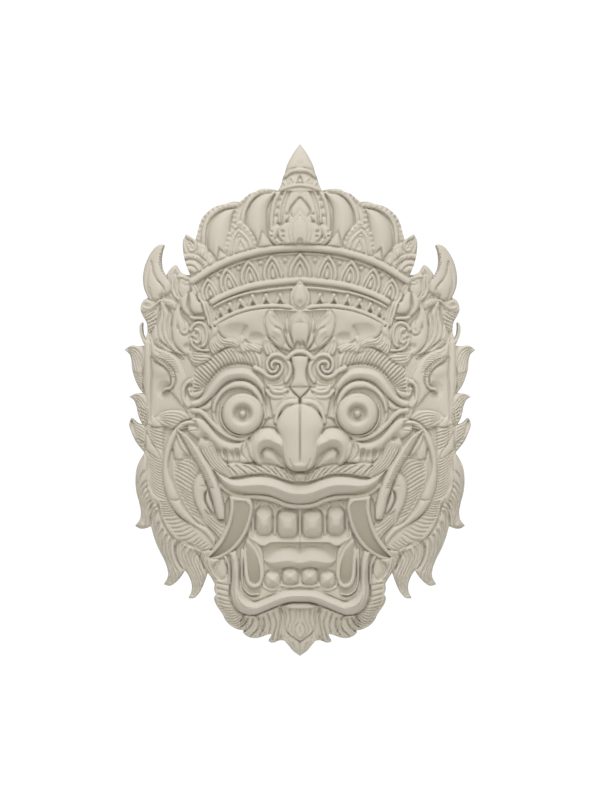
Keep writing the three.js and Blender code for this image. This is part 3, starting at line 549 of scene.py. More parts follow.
# %% Locks of the rim
LOCKS = [([(176.5, 50.5), (170, 54.6), (162, 54.2), (157.5, 51), (156.8, 40), (157.4, 28), (157.4, 16),
           (157.5, 7)],
          [(176.5, 50.5), (171.8, 46.5), (169.6, 41), (168.6, 31), (165.3, 20), (161, 11.5), (157.5, 7)]),
         ([(172, 3.5), (164, 6.7), (157, 6), (152.5, 2), (150.5, -8), (151, -18), (155, -27)],
          [(172, 3.5), (167.5, 0.5), (164.6, -5), (162.8, -13), (160.7, -19.5), (157.8, -24.6),
           (156, -28)]),
         ([(169.5, -17.8), (163, -23.5), (157.8, -24.8), (154, -27), (153.4, -34), (155, -43),
           (156, -52.8)],
          [(169.5, -17.8), (171.7, -24), (169.5, -31.5), (165, -41.5), (160.5, -47.5), (156, -52.8)]),
         ([(156, -52.8), (152.5, -62), (153, -74), (154, -86), (151, -97), (150, -107), (150, -117),
           (149.6, -126.8)],
          [(156, -52.8), (160.5, -60), (164, -68.5), (165.3, -80), (164.6, -91), (161.5, -104),
           (160, -113), (161.3, -120.5), (166.2, -126.5)]),
         ([(146, -100), (142, -107), (139.5, -118), (134, -130), (127, -139), (125.5, -148),
           (123.5, -158), (120, -166), (115.4, -170.8), (119.5, -177.5), (125.5, -183.8), (131, -187),
           (137.2, -185.7)],
          [(146, -100), (149.5, -108), (149.6, -118), (149.2, -127), (147, -137), (142.5, -149),
           (136.5, -161), (133.3, -170), (132.8, -177), (137.2, -185.7)]),
         ([(116, -141), (108, -146), (104, -153), (100.5, -159), (97.5, -166), (93, -173), (96.5, -184),
           (100.5, -192.8), (106.5, -199), (112.3, -199.2)],
          [(116, -141), (122, -142), (125, -149), (123, -159), (119.5, -166.5), (115, -171),
           (111.5, -177), (108.7, -185.5), (109.2, -192.5), (112.3, -199.2)]),
         ([(88, -150), (82, -158), (79, -167), (82, -178), (85.5, -184.3)],
          [(88, -150), (99, -152), (99, -160), (96, -167), (92.7, -172.8), (89, -178), (85.5, -184.3)])]
for edge_a, edge_b in LOCKS:
    form(edge_a, edge_b, rise=4, lift=3, groove=2.6)
tell("ground and locks")

# %% Strands of the upper mane
fan([[(176, 50.8), (169, 52), (163, 49.5), (159, 42.5), (156.8, 34)],
     [(173, 49), (169.5, 43), (167.5, 36), (166.6, 30), (166, 27)]],
    count=5, width=2.6, deep=3.2)
fan([[(167.5, 29), (163, 26.5), (158, 25)], [(161, 13), (159.5, 12), (157.5, 11.5)]], count=7)
fan([[(171, 3.9), (164, 4.2), (159, 1), (155, -5), (151, -8.5)],
     [(170, 1.2), (166.3, -4), (163.5, -9), (160, -14), (157, -17)]],
    count=5, width=2.6, deep=3.2)
fan([[(163, -7), (158, -9), (152, -13)], [(158.5, -22.5), (156, -22.5), (153, -25)]], count=5)
fan([[(169.8, -19), (165, -25), (160, -27.4), (156.5, -29.5)],
     [(170, -21), (168, -29), (163.5, -37), (157.5, -42)]],
    count=5, width=2.6, deep=3.2)
fan([[(166, -38.5), (160, -40.5), (154, -45)], [(158, -50.5), (155, -50), (151, -53)]], count=4)
fan([[(153.5, -24), (148, -27), (142, -28.5), (133, -31)],
     [(149, -42), (146, -46), (142, -48), (137.5, -50)]],
    count=7, width=2.3, deep=3)
ridge([(154, -14), (155, -24), (154.4, -31), (151, -38.5), (146.5, -46), (142, -53), (139.6, -59)],
      width=2.6, rise=-3.2, end_width=1.6)
tell("upper mane")

# %% Strands of the lower mane
fan([[(154.5, -50), (149, -54.5), (144, -58), (138.5, -60)],
     [(152, -84), (148, -92), (142, -97), (133, -100.5)]],
    count=15, width=2.4, deep=3)
fan([[(156, -55), (159.5, -62), (162.6, -70), (164, -80), (163.6, -92)],
     [(153, -79), (158, -82), (161, -88), (162, -98), (161, -108)],
     [(151, -86), (156, -90), (159, -98), (160, -110), (159.5, -122)],
     [(151, -95), (154, -100), (156, -107), (157, -116), (157.5, -125)],
     [(146, -101), (150, -103), (152.8, -109), (153.6, -117), (153.6, -126)],
     [(141, -106), (146.5, -109), (149.4, -115), (150.4, -121), (150, -127)]],
    count=9, width=2.8, deep=3.6)
fan([[(141, -101.5), (136.5, -102.5), (131.5, -102)], [(139, -116), (131, -116.5), (121, -114)],
     [(121, -140.5), (112, -139.5), (103, -134)]],
    count=13, width=2.4, deep=3)
fan([[(113, -144.5), (107, -143), (101, -138)], [(101, -150.5), (94, -150), (88, -147)]], count=5,
    width=2.4, deep=3)
tell("lower mane")

# %% Strands of the hanging locks
fan([
    [(143, -110), (147, -120), (146.5, -132), (143.5, -144), (138, -157), (133.5, -170), (133, -178)],
    [(141, -124), (142.5, -136), (141, -146), (137, -157), (132, -168), (129.5, -178), (131, -184)],
    [(134.5, -132), (138, -139), (138, -148), (134.5, -158), (129.5, -167), (127, -176), (127, -183)],
    [(129, -137), (132, -143), (132.4, -152), (130, -161), (126, -169), (123, -174), (122, -180)],
    [(121.5, -141), (124.8, -148), (124.8, -156), (122, -163), (118.5, -169), (117, -172), (116.5, -174)],
], count=6, width=4, deep=4.6, end_width=1.8, fade=0.03)
fan([
    [(120, -142), (122.5, -150), (121, -159), (115.5, -168), (110.5, -177), (108.3, -187), (109, -195)],
    [(115, -145), (118, -152), (116, -160), (111, -169), (106.5, -178), (105, -188), (107, -197)],
    [(107, -150), (110, -156), (108, -164), (104.5, -172), (102, -180), (101.5, -188), (104, -195)],
    [(102, -151), (104.6, -158), (102.5, -165), (99.5, -171), (97, -176), (97, -181), (98, -187)],
], count=6, width=3.8, deep=4.4, end_width=1.8, fade=0.03)
fan([[(98, -151), (100.6, -158), (99.4, -165), (96.5, -171), (93.5, -174)],
     [(90, -152), (92.4, -159), (91.4, -167), (89, -175), (86.5, -182)]],
    count=4, width=2.8, deep=3.8)
ridge([(142.5, -104), (139, -118), (134, -129), (127, -138), (119, -142.5), (111, -146)], width=2.6,
      rise=-3.4, end_width=1.6)
tell("hanging locks")

# %% Flame of hair beside the ear
form([(141, 99), (140, 90), (141.6, 80), (146, 72), (149.5, 66), (149, 59), (144, 53), (138, 50.5)],
     [(137, 98), (132, 90), (129, 80), (128.6, 68), (127, 59), (121.5, 50), (114, 44.5)],
     rise=4, lift=2, groove=2.8)
fan([
    [(138.5, 95), (137.6, 86), (138.6, 76), (138, 67), (134.6, 59), (128, 51.5)],
    [(136, 96), (132.6, 88), (132, 79), (131.6, 70), (128.6, 61), (122.6, 52)],
    [(133, 95), (129.6, 88), (128.6, 79), (128.6, 70), (126, 62), (120, 53)],
], count=4, width=3.4, deep=4)
ridge([(140, 96), (141, 86), (143, 78), (143.6, 70), (141, 61), (134, 54), (124, 46.4)], width=3,
      rise=-3.6, end_width=2)
fan([[(142.1, 61.3), (143.9, 58.7)], [(133.1, 55.3), (134.9, 52.7)], [(123.6, 48.3), (125.6, 45.7)],
     [(116, 41.8), (118, 39.4)]],
    count=13, width=1.9, deep=2.8, end_width=1.3, fade=0.02)
fan([[(145.6, 90), (146.6, 80), (147.6, 70), (146, 60)], [(150, 84), (150.6, 74), (149, 62)]], count=3,
    width=2, deep=1.6)
form([(153, 70), (155.5, 62), (156, 54), (154, 50)],
     [(153, 70), (149.6, 62), (149, 56), (150, 50)],
     rise=2, lift=1, groove=1)
tell("flame of hair")

# %% [markdown]
# ## The ear
# The ear has a smooth upright band at its back, a broad rim over a hollow, and a leaf in place of the
# lobe. The hollow is a low form with a few bumps in it: it could be cut deeper, but a relief keeps its
# ground.

# %% Ear
form([(157.5, 60), (157, 45), (157, 30), (157, 15), (154.4, 2), (152, -10), (152, -22)],
     [(150, 58), (149.6, 48), (148.6, 38), (148.8, 25), (149.6, 12), (149.4, 0), (149, -12), (149.5, -22)],
     rise=2.5, lift=lambda u, z: 3.2 - 3 * np.clip((5 - z) / 27, 0, 1), sharp=0.5, groove=1.2)
form([(149, 40), (143, 38), (136, 34), (130.5, 28), (128, 20), (129, 12), (123, 4), (116, -5), (113, -11)],
     [(149, 25), (150, 10), (149, -4), (147.5, -18), (138, -15), (130, -11), (120, -11), (113, -12)],
     rise=0.5, lift=2, groove=0)
bump((136, 10), radius=10, rise=-4.5, squash=0.8)
bump((139, 29), radius=8, rise=2.5, squash=1.2)
form([(151.5, 69), (148.8, 62), (146.4, 56.4), (142.8, 52.8), (138, 50.4), (132, 48), (126, 45),
      (121, 40.8), (116.8, 35), (113.6, 28), (111, 21), (114, 10), (113, -4)],
     [(151.5, 69), (150, 58), (149.4, 48), (147.6, 41.4), (143, 37.6), (138, 34.4), (134, 31),
      (131, 26.6), (129.2, 22), (129, 16), (131, 11), (126, 4), (117, -7)],
     rise=5, lift=3.4, sharp=0.8, groove=2.8)
fan([[(146.6, 60), (144, 56), (139.6, 54)], [(146.6, 51), (140, 47), (132.6, 46.4)],
     [(141.6, 42), (134.6, 40.4), (126, 40)], [(136.4, 35.4), (130, 34), (123, 33)],
     [(131.6, 28.6), (126, 28.6), (121.6, 27)]],
    count=13, width=1.8, deep=2)
ridge([(148.3, 43), (147.4, 41), (143, 37.4), (138, 34.2), (133.8, 30.6), (130.8, 26.4), (129, 22),
       (128.8, 16.6), (130.4, 12)],
      width=3, rise=-3, end_width=2)
ridge([(130, 35), (126.4, 30), (124.8, 24), (125, 16), (127.4, 11), (131, 8.4)], width=2, rise=-2.2)
fan([
    [(144.8, 44.5), (146.2, 41.5)], [(133, 38.8), (135, 36.2)], [(124.9, 29.2), (127.9, 27.8)],
    [(122.9, 17.8), (126.3, 18.2)], [(126.9, 9.6), (129.9, 11.2)],
], count=20, width=1.9, deep=2.8, end_width=1.3, fade=0.02)
ridge([(149.4, 42), (148.4, 25), (149, 10), (149.2, -4), (149.4, -18)], width=2.4, rise=-2.8,
      end_width=1.4)
bump((131, 12), radius=4.5, rise=-2.6, squash=1.2)
ridge([(155.8, 56), (156.2, 40), (156, 25), (155, 10)], width=2, rise=-1.6)
roll([(127, 21), (127.6, 15), (131, 11.4), (135.4, 10.6), (137, 8.2)], width=3.4, rise=2.6, lift=5,
     end_width=2.2)
form([(145.5, -18.5), (139, -13.4), (131, -10.8), (122, -10.6), (114, -12.2), (110, -18)],
     [(145.5, -18.5), (139, -24), (131, -29), (125, -28), (118, -22), (110, -19)],
     rise=5, lift=3.5, groove=2.8)
fan([[(144.5, -17.8), (137, -14.6), (128, -13), (120, -14.5), (114, -18)],
     [(142, -20.5), (136, -22), (130, -25), (124, -27), (121, -27)]],
    count=5, width=2.2, deep=3)
ridge([(148, -27.5), (139, -27.4), (130, -27.2)], width=2.6, rise=-3)
tell("ear")

# %% Curl at the end of the brow
form([(118, 3), (116, -6), (112.5, -14), (110, -19)],
     [(112, 4), (107, -4), (104, -12), (104, -19)],
     rise=1.5, lift=3, groove=2.6)
roll([(112, -6), (115.6, -1), (117, 5), (116.6, 11), (114, 16.4), (109.4, 18.8), (105.6, 16.4)],
     width=4.6, rise=3.6, lift=4, end_width=4)
form([(113, 12), (110, 14), (106.5, 12), (103.6, 14), (98, 16)],
     [(112, 8), (110.6, 4), (106, 2), (101, 3), (96.4, 8)],
     rise=2, lift=3.5, groove=2)
fan([[(112.5, 12.6), (109, 13.4), (106, 12)], [(110, 8.6), (107, 7), (104.5, 5)]], count=2, width=2.2,
    deep=3)
fan([[(105, 12.5), (101, 12), (96.6, 12.6)], [(104, 8.6), (101, 8.4), (97, 9)]], count=2, width=2,
    deep=2.6)
roll([(110, 19), (106, 21), (101, 18)], width=3, rise=2, lift=4.5, end_width=2)
tell("curl")

# %% [markdown]
# ## Horn and temple
# Beside the crown stands a horn with a small spur. Under it hang curled bands of hair, which frame the
# temple, and a rosette lies among them. Each band is a form or a roll, laid in the order in which the
# real bands lie over each other, so that the later one covers the earlier one where they cross.

# %% Horn and spur
form([(136.5, 156.5), (144, 155), (150, 149), (155, 140), (158, 128), (158, 116), (153, 103), (147, 97)],
     [(136.5, 156.5), (138.5, 149), (139.5, 141), (138.3, 132), (134.7, 124.5), (129, 116), (130, 108),
      (139, 103)],
     rise=5, lift=1, sharp=0.8)
form([(149, 138), (152.5, 129), (154, 118), (152, 108), (147.5, 101), (143, 98)],
     [(149, 138), (147.3, 128), (144, 121), (139, 116), (136.3, 111), (139, 104)],
     rise=4, lift=3, sharp=0.8)
ridge([(151, 113), (150, 106), (148, 99)], width=1.6, rise=-1.2)
ridge([(149.4, 139), (147.4, 129), (143.6, 121), (138.4, 115), (136, 110.6)], width=2.4, rise=-2.6,
      end_width=1.4)
fan([[(141, 146), (138.6, 145)], [(142, 137), (139.4, 136.4)], [(139.4, 129), (137, 130)],
     [(134, 121.4), (131.6, 123)]],
    count=11, width=2, deep=3, end_width=1.3, fade=0.02)
form([(124.3, 135.8), (129.5, 132.5), (133.8, 125), (131, 118), (127, 112), (126.5, 106), (121, 99)],
     [(124.3, 135.8), (119.5, 128.5), (113, 125), (110, 118), (110, 108), (117, 102)],
     rise=3, lift=2, sharp=0.8)
roll([(126, 131), (129, 125), (127.5, 118), (128, 111), (125, 104), (121.5, 100.5)], width=4, rise=2.5,
     lift=2, end_width=3)
roll([(123, 129), (124.5, 120), (124.5, 112), (122.5, 106)], width=2.6, rise=1.8, lift=3, end_width=1.6)
ridge([(126, 127), (122, 124.5), (117, 123.5)], width=1.6, rise=-1.4)
roll([(121.6, 123.6), (116.6, 123.2), (111.6, 120), (108.4, 115), (107, 109)], width=4.2, rise=3, lift=3,
     end_width=3)
ridge([(121.4, 119.4), (122.4, 113), (121.4, 107), (118, 102)], width=2.6, rise=-3.4, end_width=1.6)
tell("horn")

# %% Bands of the temple
form([(160, 96), (154, 101), (147, 99), (139, 101.5), (130, 101), (124, 98)],
     [(160, 88), (152, 88), (145, 92), (140, 98), (132, 94), (125, 90)],
     rise=3, lift=1, sharp=0.8)
roll([(141, 99.5), (146, 95), (151, 91.5), (157, 93)], width=3, rise=2, lift=2)
bump((154, 95.5), radius=2.4, rise=-2.5, squash=1.5)
bumps([(137, 103), (131, 98.5), (128, 97)], count=3, radius=2.2, rise=1.6)
fan([[(142, 106), (139, 101.6), (134.6, 97)], [(134.6, 108), (130.6, 102.6), (127, 97.4)]], count=5,
    width=2, deep=2.4)
form([(122, 99), (122, 94), (125.5, 89), (127.4, 84), (128, 77), (128.8, 71), (128, 64), (126.5, 57.5),
      (122, 51.5), (115, 45)],
     [(118, 99), (119.4, 91), (118, 83.5), (114, 78), (109, 72), (108, 66), (109, 61), (109.6, 56),
      (110, 50), (110, 46)],
     rise=3, lift=2, groove=2.6, sharp=0.7)
form([(120.5, 100), (119.6, 94), (117.5, 89.5), (114, 85.5), (110.5, 81.6), (106, 79.6), (101, 80),
      (95.5, 79.6)],
     [(111.6, 107.4), (112.4, 100), (112.8, 94), (111.4, 89.8), (108.8, 86.4), (106, 84.2), (101, 83.6),
      (94.5, 82.6)],
     rise=3.4, lift=3.4, groove=2.8)
ridge([(119.4, 90.6), (117.8, 86), (115.6, 80.6), (114.2, 75.6), (114, 71.4), (115.6, 69)], width=3,
      rise=-3.4, end_width=2.2)
ridge([(123, 80), (122.8, 74.6), (121.8, 69.6), (119.2, 66), (115.6, 64.4), (112, 65.8), (110.2, 69.6),
       (111, 75), (113.2, 80.4)],
      width=3.2, rise=-4, end_width=1.8, fade=0.2)
bump((121.8, 72), radius=2.4, rise=-1.6)
bump((113, 53.4), radius=4, rise=-4)
form([(111.2, 107), (110.8, 99), (111, 93.6), (109.4, 89.6), (106, 86.8), (101, 86.2), (96.5, 86.8)],
     [(104.4, 109), (103.2, 103), (102.4, 100.4), (100.8, 98.6), (98.8, 97.4), (98, 94.6), (97, 90)],
     rise=4, lift=3.6, groove=2.8)
roll([(110.5, 121), (106, 115), (102.5, 108), (99.5, 101), (96.4, 96.5), (95, 91), (93.6, 86), (92, 80.6),
      (90.6, 75)],
     width=4.4, rise=3, lift=3, end_width=3.4, groove=2.6)
roll([(101, 106), (97.4, 101), (94, 97), (91.6, 91), (89.8, 85), (88.4, 79), (87.4, 73)], width=3.4,
     rise=2.4, lift=2.4, groove=2.4)
roll([(115.5, 116.5), (110, 117), (106.5, 111), (105, 106)], width=3, rise=2.2, lift=2.5)
bump((101, 99), radius=1.8, rise=-3)
bump((94, 81.2), radius=1.5, rise=-2.5)
ridge([(112, 84), (106, 84.6), (101, 84.6), (95.6, 84)], width=2.6, rise=-2.6)
tell("bands of the temple")

# %% Rosette of the temple
form(arc((100, 65), radius=11.5, start=90, turn=180, squash=1.2),
     arc((100, 65), radius=11.5, start=90, turn=-180, squash=1.2), rise=2, lift=1.2, groove=2)
roll([(109.4, 70), (107, 74.4), (103, 77), (98.4, 76.8), (95, 73.6), (93.4, 68), (93.2, 61.5), (94.6, 56),
      (97.6, 53.6)],
     width=4, rise=3, lift=3, end_width=3, groove=2.8)
roll([(104.6, 70.6), (101.6, 70), (99.9, 66.6), (99.6, 62), (100.6, 58.6), (103.4, 57), (106, 59.4)],
     width=3.8, rise=3, lift=3, end_width=2.6, groove=2.6)
bump((104.8, 63.4), radius=2.4, rise=1.5)
for hole, radius in (((104, 66.4), 1.7), ((107.6, 62.4), 1.6), ((99.6, 55.8), 1.9)):
    bump(hole, radius=radius, rise=-3)
roll([(109, 60.5), (108, 56), (105.4, 52.6), (101.4, 50.4), (96.5, 49.4), (91, 49.6)], width=3.4,
     rise=2.6, lift=3, end_width=2.6, groove=2.6)
form([(112.5, 49.5), (106, 47.8), (98, 47.8), (90, 45)],
     [(112.5, 49.5), (111.3, 41), (107, 35), (100, 33.3), (93, 37), (87, 41)],
     rise=4, lift=2.5, groove=2.6)
fan([[(111, 47), (105, 45.4), (97, 45.4), (88, 44)], [(112, 44), (109, 38.5), (102, 35.6), (96, 37)]],
    count=4, width=2.4, deep=3.4)
tell("rosette")

# %% [markdown]
# ## The diadem
# Three rolls cross the brow in bows. Between the upper two stands a row of pointed leaves, between the
# lower two a row of small knobs, and a drop hangs in the middle. A row like this could be one leaf with
# an array along a curve. Here a loop draws them, because the leaves lean and shrink towards the side.

# %% Bands and rolls
ROLL_TOP = [(0, 152.5), (20, 151.5), (40, 149), (50, 146.5), (60, 143.8), (70, 140.3), (80, 136),
            (90, 130.5), (101, 123.5), (108, 119)]
ROLL_MIDDLE = [(0, 119.5), (10, 119), (20, 118), (30, 117), (40, 115.5), (50, 113.5), (60, 110.5),
               (70, 107), (80, 102.5), (88, 98)]
BEAD = [(0, 112.5), (10, 112), (20, 111.2), (30, 110), (40, 108.5), (50, 107), (60, 104.5), (70, 101),
        (80, 96.5), (86, 93)]
ROLL_LOW = [(0, 90.5), (10, 92.7), (20, 93.8), (30, 94), (40, 93.2), (50, 91.5), (60, 88.7), (70, 84.8),
            (80, 79.5), (85, 76)]
form(ROLL_TOP, ROLL_MIDDLE, rise=0.5, lift=-1.5, groove=0)
form(ROLL_MIDDLE, ROLL_LOW, rise=0.5, lift=-1, groove=0)
roll(ROLL_TOP, width=7.5, rise=5.4, lift=2)
tell("bands of the diadem")

# %% Leaves between the upper rolls
DIADEM_LEAVES = (((0, 119.5), (0, 147.5), 24, 0), ((26.3, 119.5), (28.4, 145.3), 20.5, 0.1),
                 ((48.2, 116.5), (52, 140.4), 20.5, 0.12), ((69, 110), (74.2, 132.6), 19.5, 0.16),
                 ((88.4, 102), (92.6, 121.8), 18, 0.18))
roll([(0, 146.4), (14, 146), (25, 145), (40, 142), (50, 139.8), (60, 136.6), (70, 133), (80, 129),
      (90, 123.5)],
     width=2.6, rise=2, lift=-0.5, groove=1)
for foot, tip, width, bend in reversed(DIADEM_LEAVES):
    foot, tip = np.array(foot, float), np.array(tip, float)
    form(*petal(foot, tip, width=width, bend=bend), rise=0.5, lift=1, groove=2.5)
    for size, height, thick in ((0.82, 0.92, 3.8), (0.44, 0.66, 3)):
        left, right = petal(foot, foot + (tip - foot) * height, width=width * size, bend=bend)
        for edge in (left, right):
            roll(edge, width=thick, rise=2.8, lift=1.4, groove=2)
    form(*petal(foot + (tip - foot) * 0.08, foot + (tip - foot) * 0.42, width=4.2, bend=bend), rise=3,
         lift=2, groove=1.5)
    bump(foot + (tip - foot) * 0.5, radius=1.5, rise=-1.5)
for centre in ((15, 139.5), (39.5, 137), (61.5, 131.5), (82, 124.4)):
    ridge(arc((centre[0], centre[1] - 0.5), radius=3.8, start=10, turn=160), width=2, rise=-2)
    bump(centre, radius=2.8, rise=4)
tell("leaves of the diadem")

# %% Lower rolls and knobs
roll(ROLL_MIDDLE, width=6.5, rise=4.2, lift=1.6)
roll(BEAD, width=3.2, rise=2.2, lift=2.2)
for peak, left, right in (((20, 106.6), (26.4, 95.6), (12.8, 95)),
                          ((34, 106.2), (40.4, 95.4), (27.4, 95.6)),
                          ((47.6, 105.2), (52.6, 93.6), (41.4, 95.4)),
                          ((59.8, 101), (64.8, 90), (53.2, 93)), ((70.4, 97), (75.4, 86), (65.4, 89.6)),
                          ((79.4, 91.4), (83.8, 81.6), (75.8, 85.6))):
    peak, left, right = (np.array(place, float) for place in (peak, left, right))
    middle = (left + right) / 2
    peak = peak - (peak - middle) * 0.16
    for leg in (left, right):
        roll([peak, leg + (middle - leg) * 0.3], width=4.6, rise=3.4, lift=1.8, end_width=4, groove=2)
    bump(peak, radius=3.4, rise=1.2)
    bump(middle + (peak - middle) * 0.1, radius=3, rise=-3.4)
roll(ROLL_LOW, width=4.6, rise=3.4, lift=2.2)
tell("lower rolls and knobs")

# %% The drop, one smaller form on another
for level, inset in enumerate((0, 2.6)):
    drop = [(0, 120 - 1.6 * inset), (5 - inset * 0.7, 114.5), (9.2 - inset, 108), (10.7 - inset, 101),
            (9.3 - inset, 95.5), (5 - inset * 0.7, 91 + inset * 0.5), (0, 89 + inset)]
    form(*both(drop), rise=6, lift=3 + level * 0.8)
bump((0, 97), radius=4, rise=-2.5, squash=0.7)
tell("drop")

# %% [markdown]
# ## The forehead
# The skin is the smoothest place of the whole mask. It stands well forward under the diadem and falls
# back towards the brows. A fixed height can't do that, so its lift is a small function of the place. A
# palmette of leaves grows over its middle, and the hair of the temple falls over its ends.

# %% Forehead skin
def forehead_lift(u, z):
    return 6.5 - 4.5 * np.clip((82 - z) / 26, 0, 1) ** 1.5


form([(0, 90), (10, 90), (20, 91), (30, 91.2), (40, 90.4), (50, 88.8), (60, 86), (70, 82), (80, 76.7),
      (84, 74)],
     [(0, 40), (20, 46), (38, 50), (56, 46), (70, 50), (80, 56), (84, 66), (84.5, 73)],
     rise=0.5, lift=forehead_lift, groove=0)
bump((63, 68.5), radius=9, rise=-4, squash=1.6)
ridge([(54, 73.5), (55.6, 69.5), (58, 65)], width=4, rise=-3, end_width=2)
bump((44, 62.5), radius=6, rise=-4.5, squash=1.4)
tell("forehead")

# %% Palmette
form([(27, 89.4), (22, 79), (16, 72), (15, 66)],
     [(4, 88.6), (9, 79), (11, 72), (12, 66)],
     rise=0, lift=3, groove=1)
fan([[(24, 87.6), (20, 80), (16, 74)], [(9, 87.6), (10.6, 80), (13, 73)]], count=5, width=2, deep=2.4)
form([(34, 64), (37, 59), (37, 52), (34, 45)],
     [(34, 64), (27, 57), (22, 51), (15, 45)],
     rise=3, lift=4.5, groove=2.4)
fan([[(34.6, 60), (34, 54), (31, 46)], [(30, 58.5), (27, 53), (22, 46)], [(26, 56), (21, 50.4), (15, 46)]],
    count=5, width=2.2, deep=3)
form([(30, 90), (34.3, 84), (35.6, 77), (34.6, 70), (31, 62), (23, 53.5), (12, 49)],
     [(30, 90), (26.5, 83), (20.8, 77), (16.6, 72.5), (15.5, 68), (15, 61), (11, 54), (8, 50)],
     rise=6, lift=5, sharp=0.8, groove=4.5)
for cut_line, wide, deep in (([(24, 72.3), (20.5, 71.2), (17.8, 67.5), (15.2, 64)], 2.6, -3),
                             ([(27.5, 62.8), (24.5, 60.5), (21.5, 56.5)], 2.4, -2.5),
                             ([(32, 63), (27, 59), (23, 54.5)], 1.8, -1.6),
                             ([(18.5, 51), (17, 54), (13.5, 58)], 1.8, -1.6)):
    ridge(cut_line, width=wide, rise=deep, end_width=1)
for crest in ([(29.6, 86), (28, 79), (22, 74.5), (17, 71)],
              [(24.5, 68.5), (20, 66), (17, 60.5), (12, 54.5)]):
    ridge(crest, width=4.5, rise=1.8, end_width=2)
form([(13, 82), (15.2, 76), (14.5, 70), (13, 66)],
     [(13, 82), (11, 76), (11, 70), (12, 66)],
     rise=2, lift=5)
form([(11.6, 68.5), (14.2, 63), (13, 57), (8.5, 51.5)],
     [(11.6, 68.5), (8.8, 62), (6.8, 56), (5.5, 51.5)],
     rise=4, lift=5.5, groove=4)
MIDDLE_BUD = [(0, 90.5), (3.5, 86.2), (7.5, 80), (9.8, 73), (9.6, 66), (7.6, 59), (6.2, 53), (4.6, 55.5),
              (2.5, 58.5), (0, 56)]
form(*both(MIDDLE_BUD), rise=5, lift=6.5, sharp=0.8, groove=4.5)
ridge(mirrored([(0, 77.5), (4, 77), (6.3, 75.3)]), width=1.5, rise=-1.2)
ridge([(0, 88), (0, 79)], width=3.5, rise=1.3)
tell("palmette")

# %% Hair of the temple, over the end of the brow
form([(82.5, 73.5), (80.5, 66), (77.5, 62.4), (71, 61.5), (65, 60), (60.6, 57)],
     [(88.5, 72), (91, 60), (90, 50), (86.5, 45), (80, 49), (71, 53), (62, 52)],
     rise=4, lift=4, groove=2.8)
fan([[(82, 70), (79.5, 64.5), (74, 61), (67, 59), (61.5, 56)],
     [(84.5, 67), (81.5, 59), (76, 55.5), (70, 55.5), (64, 53)],
     [(87, 66), (85.5, 57), (81, 51.5), (78, 50), (76, 51.5)],
     [(89.5, 62), (89, 54), (86.5, 49), (84.5, 47.5), (84, 47)]],
    count=7, width=2.2, deep=3.4)
form([(57.3, 65), (60.3, 60), (60.8, 54), (58.8, 47.5)],
     [(57.3, 65), (55.2, 60), (51, 57), (45, 55.5), (38, 52), (40, 47), (50, 47)],
     rise=4, lift=3.5, groove=2.6)
fan([[(56, 61), (51.5, 56.5), (45, 54), (39, 50.4)], [(58, 58), (56, 52), (53, 49), (50, 48)]], count=4,
    width=2.2, deep=3.2)
tell("hair of the temple")

# %% [markdown]
# ## Brows and eyes
# The brow is a comb of short hairs over a thick roll. It ends at the nose in a double spiral, two bands
# that wind into each other. The bulging eye is a ring with a hollow in it, and a small ball in the hollow
# for the pupil. It could be a few spheres joined together, but one profile turned like a dish gives all
# of it at once.

# %% Brow
form([(109, 6), (108, 16), (106, 26), (103, 33), (97, 36), (90, 40), (86, 45), (80, 48), (73, 51.5),
      (67, 51.5), (60, 47), (55, 48), (46, 49), (39, 45.5)],
     [(99, 4), (96, 9.5), (92.6, 16), (88.4, 22.6), (83.4, 28.6), (78.4, 32.8), (72.6, 35.4), (66, 36.8),
      (60, 37.2), (54, 36.6), (49, 35.2), (44, 32.6), (40, 29.6), (37, 27)],
     rise=4, lift=2.5)
fan([[(107, 8), (103, 9), (98, 9.5)], [(106, 19), (101, 16.5), (95.5, 13)],
     [(105, 31), (98, 24), (91.5, 18.5)], [(97.5, 38), (91, 32), (85.5, 25.6)],
     [(88, 44), (82, 38), (77, 31)], [(78.5, 50), (73, 43), (68.5, 35)],
     [(68.5, 51), (63.5, 44), (60, 36)], [(59, 47.5), (54.5, 42), (51.5, 35)],
     [(47.5, 49), (43.5, 41), (41, 31)]],
    count=23, width=2.5, deep=4.4, end_width=2.2)
BROW_TOP = [(109, -1), (102, 1), (97, 4.6), (93.4, 10), (89.6, 16), (85, 21.8), (79.6, 26.8), (73, 30),
            (66, 31.4), (60, 31.8), (54, 31.2), (48, 29), (43.4, 25.8), (39.4, 21.8), (36.6, 17)]
BROW_FOOT = [(109, -8), (101, -7), (96, -4), (90, 0.5), (84, 6), (79, 12), (73, 17.3), (66, 20),
             (60, 20.7), (54, 20), (48, 17.4), (43, 13.5), (39, 8.5), (36, 2), (33, -5)]
form(BROW_TOP, BROW_FOOT, rise=8, lift=3.5, groove=3.2, roof=0.5, crest=0.45)
tell("brow")

# %% The double spiral at the nose
form([(14, 44), (7.5, 36), (6.6, 28), (8, 18), (10.5, 12.5)],
     [(34, 44), (36, 34), (37, 24), (34, 14), (28, 11.5)],
     rise=1, lift=2.5)
fan([[(12, 27), (12.6, 20), (18, 14.6), (27, 14)], [(20, 22), (22, 20.4), (25, 19.4), (29, 19)]], count=3,
    width=1.8, deep=2.2)
roll([(45, 32), (40, 29.6), (36.7, 27.6), (33.9, 25), (30.6, 23.2), (26.7, 22.6), (22.2, 24.4),
      (18.9, 27.9), (17.4, 32.2), (18.9, 36.1), (21.7, 38.3), (25, 38.6), (27.9, 37), (28.7, 34.4),
      (27.6, 32)],
     width=5, rise=4, lift=5, end_width=3.6, groove=2.6)
roll([(14, 19), (10.6, 25), (9.8, 32), (11.4, 37), (14.6, 41.4), (19.2, 44.4), (24, 45.2), (28.4, 43.8),
      (31.6, 40.4), (33, 36.1), (32.4, 32), (30, 28.6), (25.8, 27.8), (22.8, 30.2), (22, 33.6)],
     width=5, rise=4, lift=5, end_width=3.4, groove=2.6)
bump((25, 34.4), radius=2, rise=-2)
